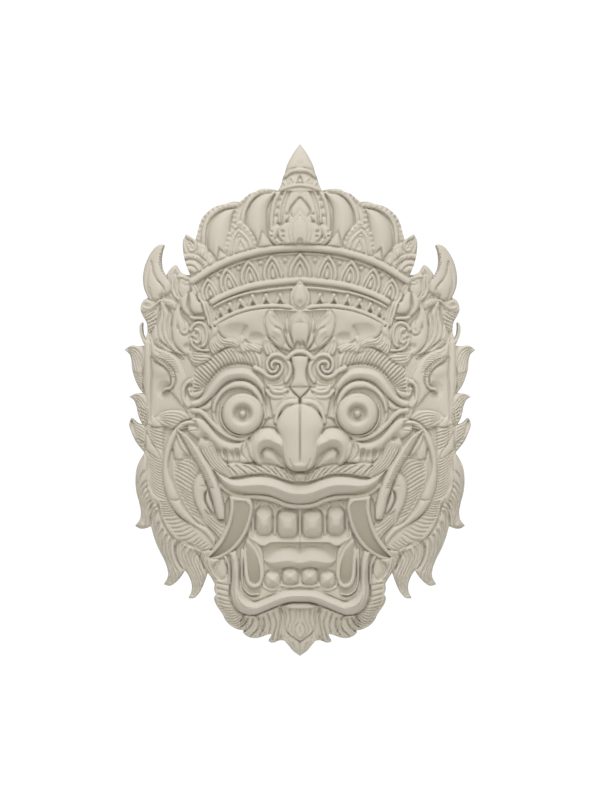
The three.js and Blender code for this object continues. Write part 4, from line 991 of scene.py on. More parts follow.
tell("double spiral")

# %% Root of the nose
form(*both([(-9, 43.5), (-8, 36), (-6.3, 30), (-6.6, 22), (-9.6, 13)]), rise=5, lift=5, sharp=0.8)
form([(9.6, 13), (5, 7), (0, 2)], [(9.6, 13), (0, 13.4), (-9.6, 13)], rise=1, lift=4, groove=1.2)
form([(-9.6, 13), (-5, 7), (0, 2)], [(-9.6, 13), (0, 13.4), (9.6, 13)], rise=2, lift=6, groove=2.0)
roll(mirrored([(0, 48.3), (5, 47.4), (9, 45), (12.4, 41.5)]), width=5, rise=4, lift=5.5)
form([(33, 15), (31, 8), (30, -2), (27, -16)],
     [(10, 11), (6, 6), (1, 2), (3, -8), (22, -14)],
     rise=3.5, lift=5, groove=1)
roll([(29.5, 13.4), (27.5, 9.2), (22, 7.6), (17, 8.2), (12, 10.5)], width=3.4, rise=2.4, lift=7,
     groove=2.6)
roll([(33, 9), (29, 4), (23.5, 2.4), (17.5, 3)], width=3.8, rise=2, lift=7, groove=2.6)
bump((12.6, 7.3), radius=1.8, rise=-2.5)
roll([(4, -2), (10, -2), (15.5, -4), (19.8, -8.5), (23, -15), (24.4, -22)], width=6, rise=3.2, lift=7,
     end_width=4, groove=2.6)
tell("root of the nose")

# %% A tool for round forms
def turned(centre, radii, heights, lift):
    """A round form turned like a dish, from the heights at some radii."""
    reach = max(radii)
    rows, columns = window(np.array([centre], float), reach + 2)
    u, z = U[rows, columns], Z[rows, columns]
    away = np.hypot(u - centre[0], z - centre[1])
    height = bed(u, z) + lift + np.interp(away, radii, heights)
    lay(rows, columns, height, np.clip(0.5 + (reach - away) / STEP, 0, 1))


# %% Lids
EYE = (57.2, -13.8)
form([(104, -8), (96, -5), (90, 0), (84, 6), (78, 12.5), (71, 17.3), (64, 19.6), (57, 19.8), (50, 17.6),
      (44, 13.4), (39.5, 7.5), (36.5, 0), (33.5, -8), (28.5, -18)],
     [(104, -8), (96, -13), (90, -20), (83, -28), (75, -34), (67, -37), (58, -38), (50, -36), (44, -32),
      (39, -27), (34, -21), (28.5, -18)],
     rise=0, lift=2, groove=2)
form([(88.4, -14), (87.6, -5), (84.6, 3), (79.6, 9.4), (73.4, 14.4), (67, 17.8), (60, 19), (53, 18),
      (46.6, 14.8), (41.6, 10), (38, 3.6), (35.4, -4), (33.4, -12), (31.6, -19)],
     [(84.6, -14), (82.8, -5), (79.4, 1.6), (75, 6.8), (70.4, 9.8), (65.4, 11.4), (60, 11.8), (54, 10.8),
      (48.5, 8), (44.2, 3.5), (41, -2), (38.8, -8), (36.6, -14), (33.6, -20)],
     rise=6, lift=5, groove=2.6, sharp=0.8)
roll([(86.4, -14), (84.6, -21), (79.8, -28), (73, -33), (65, -35.4)], width=4, rise=2.6, lift=4,
     end_width=2.4, groove=2.2)
tell("lids")

# %% Eyeball
EYE_RADII = [0, 1.8, 3.2, 4.4, 5.8, 7.6, 9.6, 11.2, 12.8, 15, 18, 20.8]
EYE_HEIGHTS = [13.4, 12.4, 9, 3, 2.6, 6.4, 11.8, 13.8, 14.2, 13.6, 12, 7.5]
turned(EYE, radii=EYE_RADII, heights=EYE_HEIGHTS, lift=1)
roll(arc(EYE, radius=22.4, start=20, turn=-220), width=2.6, rise=2.8, lift=4.8, groove=2.4)
ridge(arc(EYE, radius=21, start=0, turn=360), width=1.8, rise=-1.6)
ridge(arc(EYE, radius=17, start=160, turn=-140), width=1.4, rise=-1)
roll([(107, -10.5), (100, -11.5), (94.5, -15.5), (88.5, -22.5), (81, -30), (73, -35.6), (64, -39),
      (56, -39.2), (50, -36.6)],
     width=6, rise=4.4, lift=3.5, end_width=4, groove=2.6)
form([(103, -8), (97, -6.5), (91, -2), (87.6, 1.5)],
     [(103, -8), (96, -10), (91, -9.6), (88.8, -8)],
     rise=2, lift=4.5)
ridge([(28, -18), (34, -19.5), (40, -27)], width=2.4, rise=-3)
tell("eyeball")

# %% [markdown]
# ## The nose
# The nose is the highest form of the face. Its ridge rises towards the tip, and a groove divides it. The
# nostrils swell out on both sides. A subdivided box could be pulled into a nose, but it would then have
# to be joined to the face. As a form with a rising lift it grows out of the same surface.

# %% Ridge and wings
def nose_lift(u, z):
    return 9.5 + 3 * np.clip((-z) / 66, 0, 1) ** 1.3 - 6 * np.clip((-66 - z) / 6, 0, 1)


form([(20, -32), (12, -44), (12, -60), (14, -68)],
     [(48, -40), (46, -50), (44, -60), (38, -66)],
     rise=2, lift=3, groove=0)
form([(10, -38), (16, -35.6), (21, -33), (25, -29.4), (32, -27.8), (40, -28.4), (47, -32.6), (51.6, -40),
      (52.4, -47), (50.2, -56), (44, -64.5)],
     [(10, -62), (17, -59.6), (21, -55), (25, -51), (30, -48.6), (34, -48.4), (37.4, -51), (38.6, -55),
      (38.2, -58), (37.4, -61), (36, -65)],
     rise=14, lift=lambda u, z: 3 + 6.5 * np.clip((28 - u) / 14, 0, 1) * np.clip((z + 56) / 14, 0, 1),
     groove=2.8, roof=0.75, crest=0.55)
NOSE_EDGE = [(0, -4), (8, -5.6), (15, -9.5), (19.5, -14.5), (22.5, -21), (23.4, -27), (21.4, -33),
             (17.8, -41), (16.4, -50), (16, -59), (12.8, -66), (6.5, -71), (0, -72)]
form(NOSE_EDGE, both(NOSE_EDGE)[0], rise=8.5, lift=nose_lift, groove=0, sharp=1.4)
ridge([(22.8, -22), (20, -15), (15.4, -9.8), (9, -6.2)], width=2.6, rise=-2)
ridge([(42, -28.4), (38, -27.6), (31, -27.6), (26, -28.8), (23, -30.6), (20.4, -33.6)], width=2.6,
      rise=-2.6)
ridge([(10.4, -59), (9.4, -63.6), (6, -67.6)], width=2.4, rise=-1.6)
tell("ridge and wings")

# %% Nostril
form([(38, -53), (35.8, -50.8), (32, -49.8), (28, -51), (24.4, -53.8), (21.6, -57.4), (19.4, -61.4),
      (16, -66.4)],
     [(38, -53), (37.4, -59), (35, -62.8), (30, -64), (26, -65), (22, -66), (19, -67), (16, -68.4)],
     rise=7, lift=3.5, groove=1, roof=0.8, crest=0.5)
ridge([(37.2, -58), (37.8, -53), (36.2, -49.8), (32.4, -48.6), (28, -49.8), (24.4, -52.4), (21.4, -56),
       (19.4, -60), (17.4, -63.6), (13.6, -67.6), (10, -69.8), (5, -71.2), (0, -71.6)],
      width=2.8, rise=-3)
ridge([(47, -61.4), (43, -63.6), (36, -64), (29, -64.8), (22, -66), (14, -69)], width=2.6, rise=-2.4)
ridge([(0, -1), (0, -30), (0, -61.5)], width=2.6, rise=-5)
bump((0, -66.6), radius=4.6, rise=3.4, squash=1.5)
tell("nostril")

# %% [markdown]
# ## Cheeks
# Under the eye a broad fold swells out. Beside it a ring and a long strap cross the cheek, with fine hair
# inside the ring and a tuft of hair in front of the strap. They cross over each other, so the order of
# the calls matters: what lies on top is carved last.

# %% Cheek and folds
form([(112, -21), (104, -17.5), (97, -19.5), (91, -25), (85, -32.5), (78, -39), (69, -42.4), (60, -42.4),
      (51, -38.8)],
     [(112, -32), (104, -38), (96, -42), (88, -43), (84, -48), (81, -56), (74, -62), (64, -64), (54, -63),
      (46, -62)],
     rise=6, lift=3.5, groove=2.4, sharp=0.8)
ridge([(100, -22), (90, -33), (80, -42.5), (70, -46.5), (60, -47), (54, -44)], width=11, rise=3)
bump((96, -38), radius=6, rise=-4.5)
ridge([(80, -52), (69, -54.5), (57, -53.5)], width=9, rise=-4)
for fold in ([(75, -50), (74, -56), (72.6, -61.5)], [(63, -50), (61.6, -56), (61, -62)]):
    ridge(fold, width=5, rise=-6, end_width=3)
for fold in ([(81, -50), (79.6, -56), (76, -61)], [(68.4, -51), (66.8, -56), (66, -62)]):
    ridge(fold, width=2.8, rise=-3.4, end_width=1.6)
roll([(53, -42), (56, -48), (55, -54.6), (49, -61)], width=5, rise=3, lift=5, end_width=3, groove=2.6)
ridge([(50.6, -38), (53, -44), (52, -52), (48.4, -59), (44, -64.4)], width=3, rise=-3.6)
tell("cheek")

# %% Ring and the hair inside it
form([(126, -58), (128.4, -67), (128.6, -76), (124.4, -88), (119, -100), (114, -109), (107, -118),
      (99, -125), (92, -127)],
     [(104, -58), (100.6, -67), (102, -74), (106, -82), (107.2, -92), (105.4, -102), (101, -112),
      (95, -120), (90, -127)],
     rise=3, lift=0.5, groove=0)
fan([[(123.5, -61), (115, -61.5), (108, -64), (102.5, -70)],
     [(126.5, -68), (119, -72), (111, -77), (105, -81)],
     [(124.5, -84), (118, -88), (111.5, -92), (107, -94)],
     [(119, -97), (113, -101), (107, -104), (103.5, -105)],
     [(109, -113), (104, -116), (99.5, -118), (96, -119)]],
    count=15, width=2.5, deep=3.4)
form([(110, -23), (118, -26), (124, -34), (127.6, -46), (127, -58)],
     [(119, -30), (115, -40), (110, -50), (106, -56), (104, -61)],
     rise=3.5, lift=1, groove=1.4)
bump((112, -56), radius=6, rise=-2.5, squash=1.5)
ridge([(127.6, -50), (126, -58), (123, -66), (119.6, -72)], width=3, rise=-3, end_width=1.5)
ridge([(126, -59.6), (118, -59.6), (111, -58.4), (104, -60)], width=2.4, rise=-2.8)
form([(104, -21.4), (112, -20.3), (118, -22), (124.5, -27.5), (130.5, -35), (134.5, -44), (137, -55),
      (138, -68), (137.6, -80), (135.4, -91), (131.8, -101), (127, -109), (120, -116.6), (111, -123),
      (102, -128.6), (94, -135), (86, -146)],
     [(104, -25), (112, -25.4), (118, -29), (123, -36), (127.5, -46), (130.4, -56), (131.6, -66),
      (129.4, -76), (125, -87), (120, -99), (116, -107.6), (109, -117), (101, -124.6), (92.4, -128),
      (84, -138)],
     rise=6, lift=3, groove=3, sharp=0.8)
ridge([(130, -99.5), (125, -100.4), (120.5, -100)], width=2.4, rise=-2.4)
roll([(104, -26.5), (112, -27), (119, -29)], width=1.8, rise=0.8, lift=4.5)
fan([[(119, -25.6), (111, -24), (102, -24.4)], [(117, -32), (109, -30.6), (102, -30)]], count=4,
    width=1.7, deep=2, end_width=1.2, fade=0.05)
form([(123.6, -31), (123, -40), (119, -49), (112, -55.6)],
     [(123.6, -31), (118.6, -38), (114, -46), (109, -55)],
     rise=3, lift=3.4, groove=2.6)
bump((114, -56.4), radius=3, rise=-3, squash=1.3)
tell("ring")

# %% Oval beside the mouth
form([(98, -72), (103, -75.5), (106.4, -82), (107.4, -91), (105.6, -101), (101.5, -110.6), (96.5, -119),
      (90, -128)],
     [(98, -72), (95.5, -78), (93, -85), (91, -89), (94.8, -93), (95.4, -100), (92.4, -107), (89.5, -112),
      (87, -120)],
     rise=5, lift=3, groove=3, sharp=0.8)
ridge([(99, -86), (95, -86.4), (91.5, -88.6)], width=2.2, rise=-1.8)
form([(91.6, -89.5), (94.2, -94), (94.2, -101), (90.5, -109), (86, -114)],
     [(91.6, -89.5), (90, -96), (87.5, -103), (85, -110)],
     rise=3, lift=3.5, groove=2.4)
form([(95, -110), (89, -114.5), (83, -119.4), (77, -121.6), (71, -122)],
     [(98, -120), (92, -126), (86, -132), (81, -138.6), (77, -142)],
     rise=4, lift=3, groove=2.4)
fan([[(95, -111.5), (88, -117), (81, -122), (73, -123)], [(97, -118), (91, -124), (84, -131), (78, -138)]],
    count=4, width=2.6, deep=3.4)
tell("oval")

# %% Tuft of hair and strap
form([(96, -38), (90, -40), (85.6, -43.4), (83, -50), (80.6, -56), (75.6, -61), (71, -65.4), (68, -71),
      (64, -76)],
     [(101, -39), (103, -46), (98, -54), (93, -62), (89, -69), (84, -72), (79, -75), (72, -78.4)],
     rise=5, lift=4, groove=2.6)
fan([[(91, -41), (85, -47.5), (81.4, -56), (75.6, -63), (69, -70), (66, -75)],
     [(100, -44), (99, -51), (93.6, -60), (87.6, -67.5), (80.6, -73), (73, -77)]],
    count=6, width=2.6, deep=3.4)
bump((94, -39), radius=3, rise=-4)
form([(123, -29), (115, -33.4), (107.6, -40.4), (100.4, -49.8), (93.4, -60.6), (87.4, -70.5), (82.8, -80),
      (78.2, -92), (75.2, -105), (72.4, -119)],
     [(123, -30), (118, -38), (113, -47), (107.4, -56.4), (102.6, -64.6), (98.6, -72), (95, -79.5),
      (91.5, -87.8), (88.2, -98), (85.4, -109), (82.4, -119)],
     rise=7, lift=5.5, groove=3.2, sharp=0.8)
fan([[(119.6, -35.4), (117.6, -34), (115.8, -33.8)], [(113, -46.6), (110.6, -45.6), (108.6, -45)],
     [(107.2, -56), (104.6, -55.4), (102.4, -55)], [(98.6, -71.6), (95.8, -71.4), (93.2, -71.2)],
     [(91.6, -87.4), (88.8, -87.6), (86, -87.8)]],
    count=31, width=2, deep=2.8, end_width=1.3, fade=0.02)
tell("tuft and strap")

# %% Moustache
form([(72, -63), (63, -62.6), (54, -63.6), (44, -65), (34, -65.2), (25, -66.4), (17, -69), (9, -73),
      (0, -74), (-9, -73)],
     [(68, -77), (60, -76.6), (52, -75), (44, -74.2), (36, -74), (29, -75), (22, -77.6), (15, -80),
      (8, -82), (0, -82), (-8, -82)],
     rise=4, lift=5.5, groove=2.6)
MOUSTACHE = [[(73, -65), (68, -69), (63, -74.6)], [(65, -64.6), (59, -69), (53, -74)],
             [(58, -64.6), (51, -68), (44, -72)], [(49, -65.4), (43, -68.4), (37, -72.4)],
             [(41, -65.4), (36, -68.3), (30, -72.4)], [(34, -65.8), (29, -69.4), (23.6, -74.4)],
             [(27, -67), (22.6, -71), (18, -77)], [(20, -68.6), (16.4, -72.4), (12.2, -78.4)],
             [(14, -70.4), (11, -74.4), (8.2, -79.6)], [(9, -72.4), (7, -76), (5, -80.6)]]
fan(MOUSTACHE, count=10, width=3, deep=4.4, end_width=2)
fan(MOUSTACHE, count=19, width=1.6, deep=1.2)
form(mirrored([(0, -73), (4, -73.6), (6, -75.6)]), mirrored([(0, -80), (3.4, -79), (6, -75.6)]), rise=3,
     lift=6.5, groove=1.8)
tell("moustache")

# %% [markdown]
# ## The mouth
# The mouth is cut back to a floor. Gums, teeth and tongue are set on the floor, and the lips run around
# it. Teeth are often separate pieces, but here they are cut from the same stone. Lips and tongue have two
# even slopes, a light upper one and a shaded lower one, so they are made as roofs.

# %% Floor of the mouth
def above_floor(height):
    """A lift that sets a form at a fixed height over the flat back."""
    return lambda u, z: height - bed(u, z)


FLOOR = 36.5
form([(0, -104), (20, -104), (36, -98), (52, -96), (66, -95), (73, -100), (74, -130), (66, -150),
      (62, -165), (62, -187), (54, -200), (45, -203), (30, -197), (10, -191), (0, -191)],
     [(0, -104), (0, -120), (0, -150), (0, -170), (0, -191)],
     rise=0, lift=above_floor(FLOOR), groove=0)
tell("floor of the mouth")

# %% Tongue
form(mirrored([(0, -151), (2, -149.4), (6, -147.2), (12, -146.2), (18, -147.3), (25, -150), (31, -154.5),
               (36.4, -160)]),
     mirrored([(0, -170), (10, -169.6), (20, -169.6), (29, -168), (34, -164.6), (36.4, -160)]), rise=12,
     lift=above_floor(FLOOR), groove=1.4, roof=0.9, crest=0.6)
ridge([(0, -146.6), (0, -154)], width=5, rise=-2, end_width=2)
tell("tongue")

# %% Gums
form([(0, -105), (18, -104), (30, -99), (44, -97), (54, -102), (50, -120), (53, -136), (49, -140)],
     [(0, -105), (0, -120), (0, -132), (0, -142)], rise=0, lift=above_floor(FLOOR + 3), groove=0)
form([(0, -133), (20, -133), (33, -131), (44, -128), (51, -128)],
     [(0, -142.8), (20, -142.8), (29, -143.4), (34, -146.2), (38, -146.6), (44, -144), (52, -138.4)],
     rise=10, lift=above_floor(FLOOR + 1.5), groove=0, roof=1, crest=0.92)
form([(53, -138), (47.6, -146), (43, -155), (40, -165), (39, -180)],
     [(44, -142), (38.4, -148), (36.6, -158), (36, -168), (35.4, -180)],
     rise=2, lift=above_floor(FLOOR + 6), groove=1)
for web in ([(16.6, -105.5), (21, -109), (24, -114), (25, -121), (25, -134)],
            [(30, -104), (27, -110), (25.4, -117)],
            [(40, -101.5), (43, -107), (46.6, -113), (47, -124), (47.6, -136)],
            [(50, -101.5), (47, -105), (45.8, -110)], [(0, -107), (0, -120), (0, -136)]):
    roll(web, width=3, rise=2, lift=above_floor(FLOOR + 4), groove=0.8)
form([(0, -176), (20, -176), (36, -178), (38, -189), (45, -197), (56, -192), (60, -180)],
     [(0, -191), (15, -191.5), (28, -195), (40, -200), (50, -201), (58, -196), (61, -186)],
     rise=0, lift=above_floor(FLOOR + 3), groove=0)
roll([(0, -185.6), (12, -186.6), (19, -185.2), (27, -189.8), (35, -187)], width=4, rise=3,
     lift=above_floor(FLOOR + 2.5))
tell("gums")


# %% Teeth
TOOTH_GROOVE = 3.4
TOOTH_GROOVE_OFFSET = 0.9
TOOTH_GROOVE_REACH = 1.5


def tooth(centre, half_width, half_height, rise, base, roundness, facet):
    """A cut tooth. Its upper facet looks up and its lower one looks down."""
    rows, columns = window(np.array([centre], float), max(half_width, half_height) + MARGIN)
    u, z = U[rows, columns], Z[rows, columns]
    x, y = np.abs(u - centre[0]) / half_width, np.abs(z - centre[1]) / half_height
    border = (1 - (x**roundness + y**roundness) ** (1 / roundness)) * min(half_width, half_height)
    height = base + rise * np.clip(1 - facet(x, y), 0, 1)
    lay(rows, columns, height, np.clip(0.5 + border / STEP, 0, 1))
    off_groove = np.abs(border + TOOTH_GROOVE_OFFSET)
    depth[rows, columns] -= TOOTH_GROOVE * np.clip(1 - off_groove / TOOTH_GROOVE_REACH, 0, 1)


def cushion(x, y):
    """A flat top with a bevel all round, for the upper teeth."""
    return np.clip((np.maximum(0.85 * x, y + 0.12 * x) - 0.28) / 0.72, 0, 1)


def pyramid(x, y):
    """Four slopes that meet in a point, for the lower teeth."""
    return np.maximum(0.85 * x, y)


for centre, half_width, half_height in (((12.4, -124.3), 9.7, 13.2), ((36, -121.8), 8.2, 12.8)):
    tooth(centre, half_width, half_height, rise=9.5, base=FLOOR + 5, roundness=3.6, facet=cushion)
for centre, half_width, half_height in (((9.7, -176.8), 8.1, 7.8), ((27.4, -179.8), 7.6, 7.8)):
    tooth(centre, half_width, half_height, rise=9, base=FLOOR + 2.5, roundness=2.6, facet=pyramid)
tell("teeth")

# %% Upper lip
LIP_TOP = [(0, -84.8), (8, -84), (15, -81.8), (22, -79.2), (29, -77.2), (36, -76.2), (44, -76), (52, -77),
           (60, -78.4), (67, -78.8), (73, -77), (79, -74), (85, -70)]
LIP_FOOT = [(0, -103.7), (8, -103.3), (15, -101.6), (22, -98.6), (29, -96), (36, -94.6), (44, -94.2),
            (54, -94.2), (62, -93.4), (69, -91), (75, -87), (80, -81.5), (85, -72)]
roll(mirrored([(0, -106.3), (9, -105.9), (16, -104.2), (23, -101), (30, -98.8), (38, -97.4), (46, -97),
               (55, -96.8), (62, -95.8), (69, -93.4), (75, -89.4), (79, -85)]),
     width=5, rise=3, lift=2.4, groove=1.6)
form(mirrored(LIP_TOP), mirrored(LIP_FOOT), rise=13, lift=4, groove=2.8, roof=0.85, crest=0.46)
ridge([(78, -82.5), (70, -86), (60, -89.6), (50, -91.4), (38, -91.4), (28, -93.6), (20, -97.5)],
      width=1.8, rise=0.9)
tell("upper lip")

# %% [markdown]
# ### Tusks and fangs
# Big tusks cross the upper lip, and flat fangs stand at the corners of the lower jaw. Their faces lean
# back towards their lower ends inside a thin raised rim. Their colour is also a shade darker and browner:
# this is painted shade, for more shade than the lean alone gives. Painting them by hand would work, but a
# second map marks this painted shade just where they are carved.

# %% A map of the painted shade
# Painted shade: this map holds the places whose colour is darkened to stand for shade.
painted_shade = np.zeros(U.shape)


def mark_painted_shade(edge_a, edge_b):
    """Marks the places between two edges, where shade is painted into the colour."""
    outline = np.vstack([smooth(edge_a), smooth(edge_b)[::-1]])
    rows, columns = window(outline, 1)
    painted_shade[rows, columns] = np.maximum(painted_shade[rows, columns],
                                      inside(outline, U[rows, columns], Z[rows, columns]))


# %% Tusk
TUSK = [[(66, -100), (65.6, -108), (67, -117), (70, -128), (74.5, -138), (80, -146.5), (91, -157.8)],
        [(54, -101), (50.4, -106), (51, -113), (53, -122), (57.4, -132.5), (64, -142.4), (73, -151),
         (84, -156.5), (91, -157.8)]]
form([(70.5, -96), (70, -106), (71.5, -117), (74.6, -127), (79, -136.5), (84, -144), (93.5, -157)],
     [(49, -99), (46.4, -106), (47.3, -114), (49.6, -124), (53.7, -134), (60.5, -144.6), (70, -153.6),
      (83, -159.6), (93.5, -159)],
     rise=1.5, lift=lambda u, z: 14 - 10 * np.clip((-100 - z) / 56, 0, 1), groove=3)
form(*TUSK, rise=0, lift=lambda u, z: 13.5 - 16.5 * np.clip((-100 - z) / 56, 0, 1), groove=1.6)
# The face of the tusk gets painted shade, a darker colour.
mark_painted_shade(*TUSK)
tell("tusk")

# %% Fang of the lower jaw
roll([(58, -150), (58.2, -165), (58, -180), (55.8, -189), (49, -194.5), (41, -194)], width=3, rise=2.2,
     lift=above_floor(FLOOR + 5.5), end_width=1.6)
form([(52.6, -136), (56.6, -148), (56.4, -165), (55.4, -178), (52, -186), (45.4, -188.6), (39.6, -186.6)],
     [(52.6, -136), (44, -148), (39.6, -158), (37.8, -168), (37.4, -178), (38, -184), (39.6, -186.6)],
     rise=1.5, lift=above_floor(FLOOR + 6.5), groove=2.4)
FANG = [[(54.4, -140), (53.6, -152), (52.2, -165), (51, -177), (48.8, -182.8), (45.4, -184.8)],
        [(54.4, -140), (49, -146), (44.6, -153), (41.6, -162), (40, -174), (41.4, -181.6), (45.4, -184.8)]]
# The face of the fang gets painted shade too.
mark_painted_shade(*FANG)
form(*FANG, rise=0, lift=lambda u, z: FLOOR + 10 - 12 * np.clip((-142 - z) / 42, 0, 1) - bed(u, z),
     groove=1.4)
tell("fang")

# %% Lower lip
LIP_IN = [(64, -150), (61.4, -158), (60.4, -168), (60.4, -180), (59.6, -188), (56.5, -194.6),
          (51, -199.6), (45, -201.8), (38, -199.6), (30, -196.4), (20, -192.2), (10, -190), (0, -189.8)]
LIP_MIDDLE = [(67, -152), (64.6, -162), (63.6, -176), (64, -190), (62.4, -198), (58.6, -204),
              (52, -207.6), (45, -207.6), (38, -204.6)]
LIP_OUT = [(71, -154), (69, -164), (68.4, -176), (69.8, -192), (68, -202), (63, -210), (55, -214.6),
           (47, -215.6), (39, -213.4), (30, -209.6), (20, -205.4), (10, -203), (0, -202.8)]
form(mirrored(LIP_IN[::-1]), mirrored(LIP_OUT[::-1]), rise=12.5, lift=4.4, groove=3.2, roof=0.8,
     crest=0.46)
ridge(LIP_MIDDLE, width=3, rise=-3.4, end_width=1)
ridge([(66.6, -160), (66.4, -176), (67, -190), (65, -200)], width=1.6, rise=-1.6)
tell("lower lip")

# %% [markdown]
# ## Jaw and beard
# The chin is a narrow light band. Under it the beard falls in strands, with a bud in the middle. Short
# hair covers the jaw. The strands are cut in two passes with the same key lines: a few deep cuts part the
# locks, and many shallow ones between them give the hair.

# %% Jaw and chin
form([(92, -160), (88, -170), (85.5, -184), (86.5, -196), (83, -206), (77, -216), (71, -225.6),
      (63, -230.4), (52, -231.6)],
     [(74, -160), (72.6, -172), (70.4, -184), (70.8, -196), (68, -205), (63, -212.4), (56, -216),
      (48, -217), (42, -217)],
     rise=3.5, lift=3, groove=2)
fan([[(84, -183), (78, -184), (72, -185.5)], [(83, -197), (77, -199), (70.5, -201)],
     [(82, -206), (74, -209), (66, -209.5)], [(77, -214), (69, -216.5), (61, -213.5)],
     [(73, -223), (64, -223), (56, -216.5)], [(64, -229.5), (56, -226), (51, -217)]],
    count=14, width=2.8, deep=3.8)
form([(81, -160.6), (86, -164), (87, -171), (84, -178), (79, -181)],
     [(76.4, -160), (73.4, -166), (72.6, -172), (74.4, -178), (79, -181)],
     rise=2, lift=1.5, groove=2)
fan([[(84.6, -163), (86, -170), (81, -178.6)], [(80, -161.6), (82.4, -169), (79.4, -178)]], count=3,
    width=2, deep=2.4)
form([(78.6, -161), (79.4, -167), (79, -173), (76.6, -178)],
     [(76.4, -161), (73.8, -167), (73.6, -172), (76.6, -178)],
     rise=-2, lift=5, groove=1.4)
roll([(92, -158.6), (90.4, -166), (87.4, -173), (83.4, -179)], width=2.6, rise=2, lift=4, end_width=2)
roll([(74.6, -157.4), (71.2, -165), (70.6, -176), (70.2, -184)], width=3, rise=2.4, lift=5, end_width=2,
     groove=2.6)
tell("jaw")

# %% Beard
form([(58, -215.6), (55, -221), (53, -227), (57.3, -233.4)],
     [(44, -216.4), (38, -219), (34, -226), (31.8, -234.6), (39, -238), (46.5, -239.2), (53.5, -237),
      (57.3, -233.4)],
     rise=4, lift=3, groove=2.8)
form([(44, -216), (39.4, -222), (39, -229), (36, -236)],
     [(22, -207), (17, -214), (16, -222), (16.6, -230), (20, -238), (28, -243.6), (31.6, -242.6)],
     rise=4, lift=3, groove=2.8)
BEARD = [[(55.5, -214.5), (57, -218), (60, -222)], [(51.5, -217), (53, -221), (56, -225), (59, -227.4)],
         [(46.6, -217.6), (47.6, -222), (49, -226), (52.5, -230), (56, -232.4)],
         [(42, -217), (41.5, -222), (41, -226), (43, -230.5), (47, -234.5), (50, -237.4)],
         [(37.2, -216.6), (35.8, -222), (35.5, -226), (37, -230.5), (40.5, -236)],
         [(33, -212.5), (31.4, -217), (30, -222), (29.5, -227), (31, -233.6)],
         [(26.6, -210.6), (26, -216), (24, -221), (23.6, -226), (25.4, -232), (28, -240.6)],
         [(20, -207.6), (20.4, -212.5), (19, -217), (19.4, -222), (20.6, -228), (22, -235), (23, -241)]]
fan(BEARD, count=8, width=3, deep=4, end_width=1.8)
fan(BEARD, count=15, width=1.6, deep=1.4)
tell("beard")

# %% Bud in the middle of the beard
form([(19, -207), (17, -214), (17.6, -222), (18.6, -230), (18.6, -239), (17, -243)],
     [(-6, -206), (-6, -215), (-6, -225), (-3, -238), (0, -244)],
     rise=3.5, lift=3, groove=2)
form([(16.4, -229), (15, -235), (17.6, -241.6), (11, -247), (5, -253), (0, -257.2)],
     [(13, -232), (9, -236.4), (4, -240), (0, -243), (-2, -250), (0, -257.2)],
     rise=2.5, lift=2.5, groove=1.2)
fan([[(16, -207), (15.4, -211), (14, -215.5), (15, -221), (15.6, -227), (14, -230.6), (10.6, -235),
      (6, -238.4), (0, -242.6)]] * 2,
    count=2, width=3, deep=2.2)
ridge([(10, -208.6), (10.4, -214), (9.4, -219), (10.6, -225), (12.4, -229.6)], width=2.6, rise=-3.4,
      end_width=1.6)
ridge([(7.4, -243.6), (5.6, -248), (4, -252.4)], width=2.2, rise=-2.6, end_width=1.2)
ridge([(12, -238), (11, -243), (9, -247)], width=2, rise=-2.2, end_width=1.2)
ridge([(0, -244.6), (0, -250), (0, -254.6)], width=1.8, rise=-1.6, end_width=1)
form(*both([(4, -210), (4.2, -216), (5, -220), (7, -225), (8.8, -230), (7.8, -235), (3.6, -239.4),
            (0, -242)]),
     rise=4, lift=4.5, groove=3)
ridge([(0, -210), (0, -216), (0, -222)], width=2, rise=-2)
ridge([(1.4, -223), (4.2, -226.6), (5.4, -231), (4.2, -236), (0.6, -239)], width=1.8, rise=-2.4)
ridge([(0, -227.6), (0, -235)], width=2, rise=-2)
form(mirrored([(0, -203.4), (8, -203.4), (14, -205), (19, -206.6)]),
     mirrored([(0, -208.8), (8, -208.6), (13, -207.8), (19, -206.6)]), rise=4, lift=8.5, groove=2, roof=1,
     crest=0.9)
bump((20, -207.8), radius=2.6, rise=2, squash=1.4)
tell("bud and chin")

# %% [markdown]
# ## From the map to a mesh
# A last pass softens the map a little, as a chisel's edges are soft. Then every grid square inside the
# outline becomes two triangles, and squares on the outline are cut along it. The other half is the mirror
# image. A wall runs from the rim to the back plane, and the back is one flat face. A plane with a
# Displace modifier would be shorter, but it would leave steps along the outline and no closed back.

# %% Softening
BELL_REACH = 3
SOFTNESS = 0.32
RELIEF = 0.8


def soften(values, radius):
    """Averages each value with its neighbours, with weights that fall off like a bell."""
    reach = int(BELL_REACH * radius / STEP) + 1
    weights = np.exp(-0.5 * (np.arange(-reach, reach + 1) * STEP / radius) ** 2)
    weights /= weights.sum()
    for axis in (0, 1):
        pad = [(reach, reach) if i == axis else (0, 0) for i in (0, 1)]
        padded = np.pad(values, pad, mode="reflect")
        size = values.shape[axis]
        values = sum(w * np.take(padded, range(i, i + size), axis=axis) for i, w in enumerate(weights))
    return values


ground = bed(U, Z)
finished = soften(ground + RELIEF * (depth - ground), SOFTNESS)
print("softened, highest", round(float(finished.max()), 1), "mm")

# %% Triangles cut along the outline
index = np.arange(U.size).reshape(U.shape)
corner = {"a": index[:-1, :-1], "b": index[:-1, 1:], "c": index[1:, 1:], "d": index[1:, :-1]}
triangles = np.vstack([np.stack([corner[k].ravel() for k in three], 1) for three in ("abc", "acd")])
flat_cover = cover.ravel()
within = flat_cover > 0
count_in = within[triangles].sum(axis=1)
places = np.stack([U.ravel(), finished.ravel(), Z.ravel()], 1)

faces = triangles[count_in == 3].tolist()
cut_points, cut_index = [], {}


def cut(i, j):
    """The index of the point where the outline crosses a grid edge."""
    key = (min(i, j), max(i, j))
    if key not in cut_index:
        share = flat_cover[i] / (flat_cover[i] - flat_cover[j])
        cut_index[key] = len(places) + len(cut_points)
        cut_points.append(places[i] + (places[j] - places[i]) * share)
    return cut_index[key]


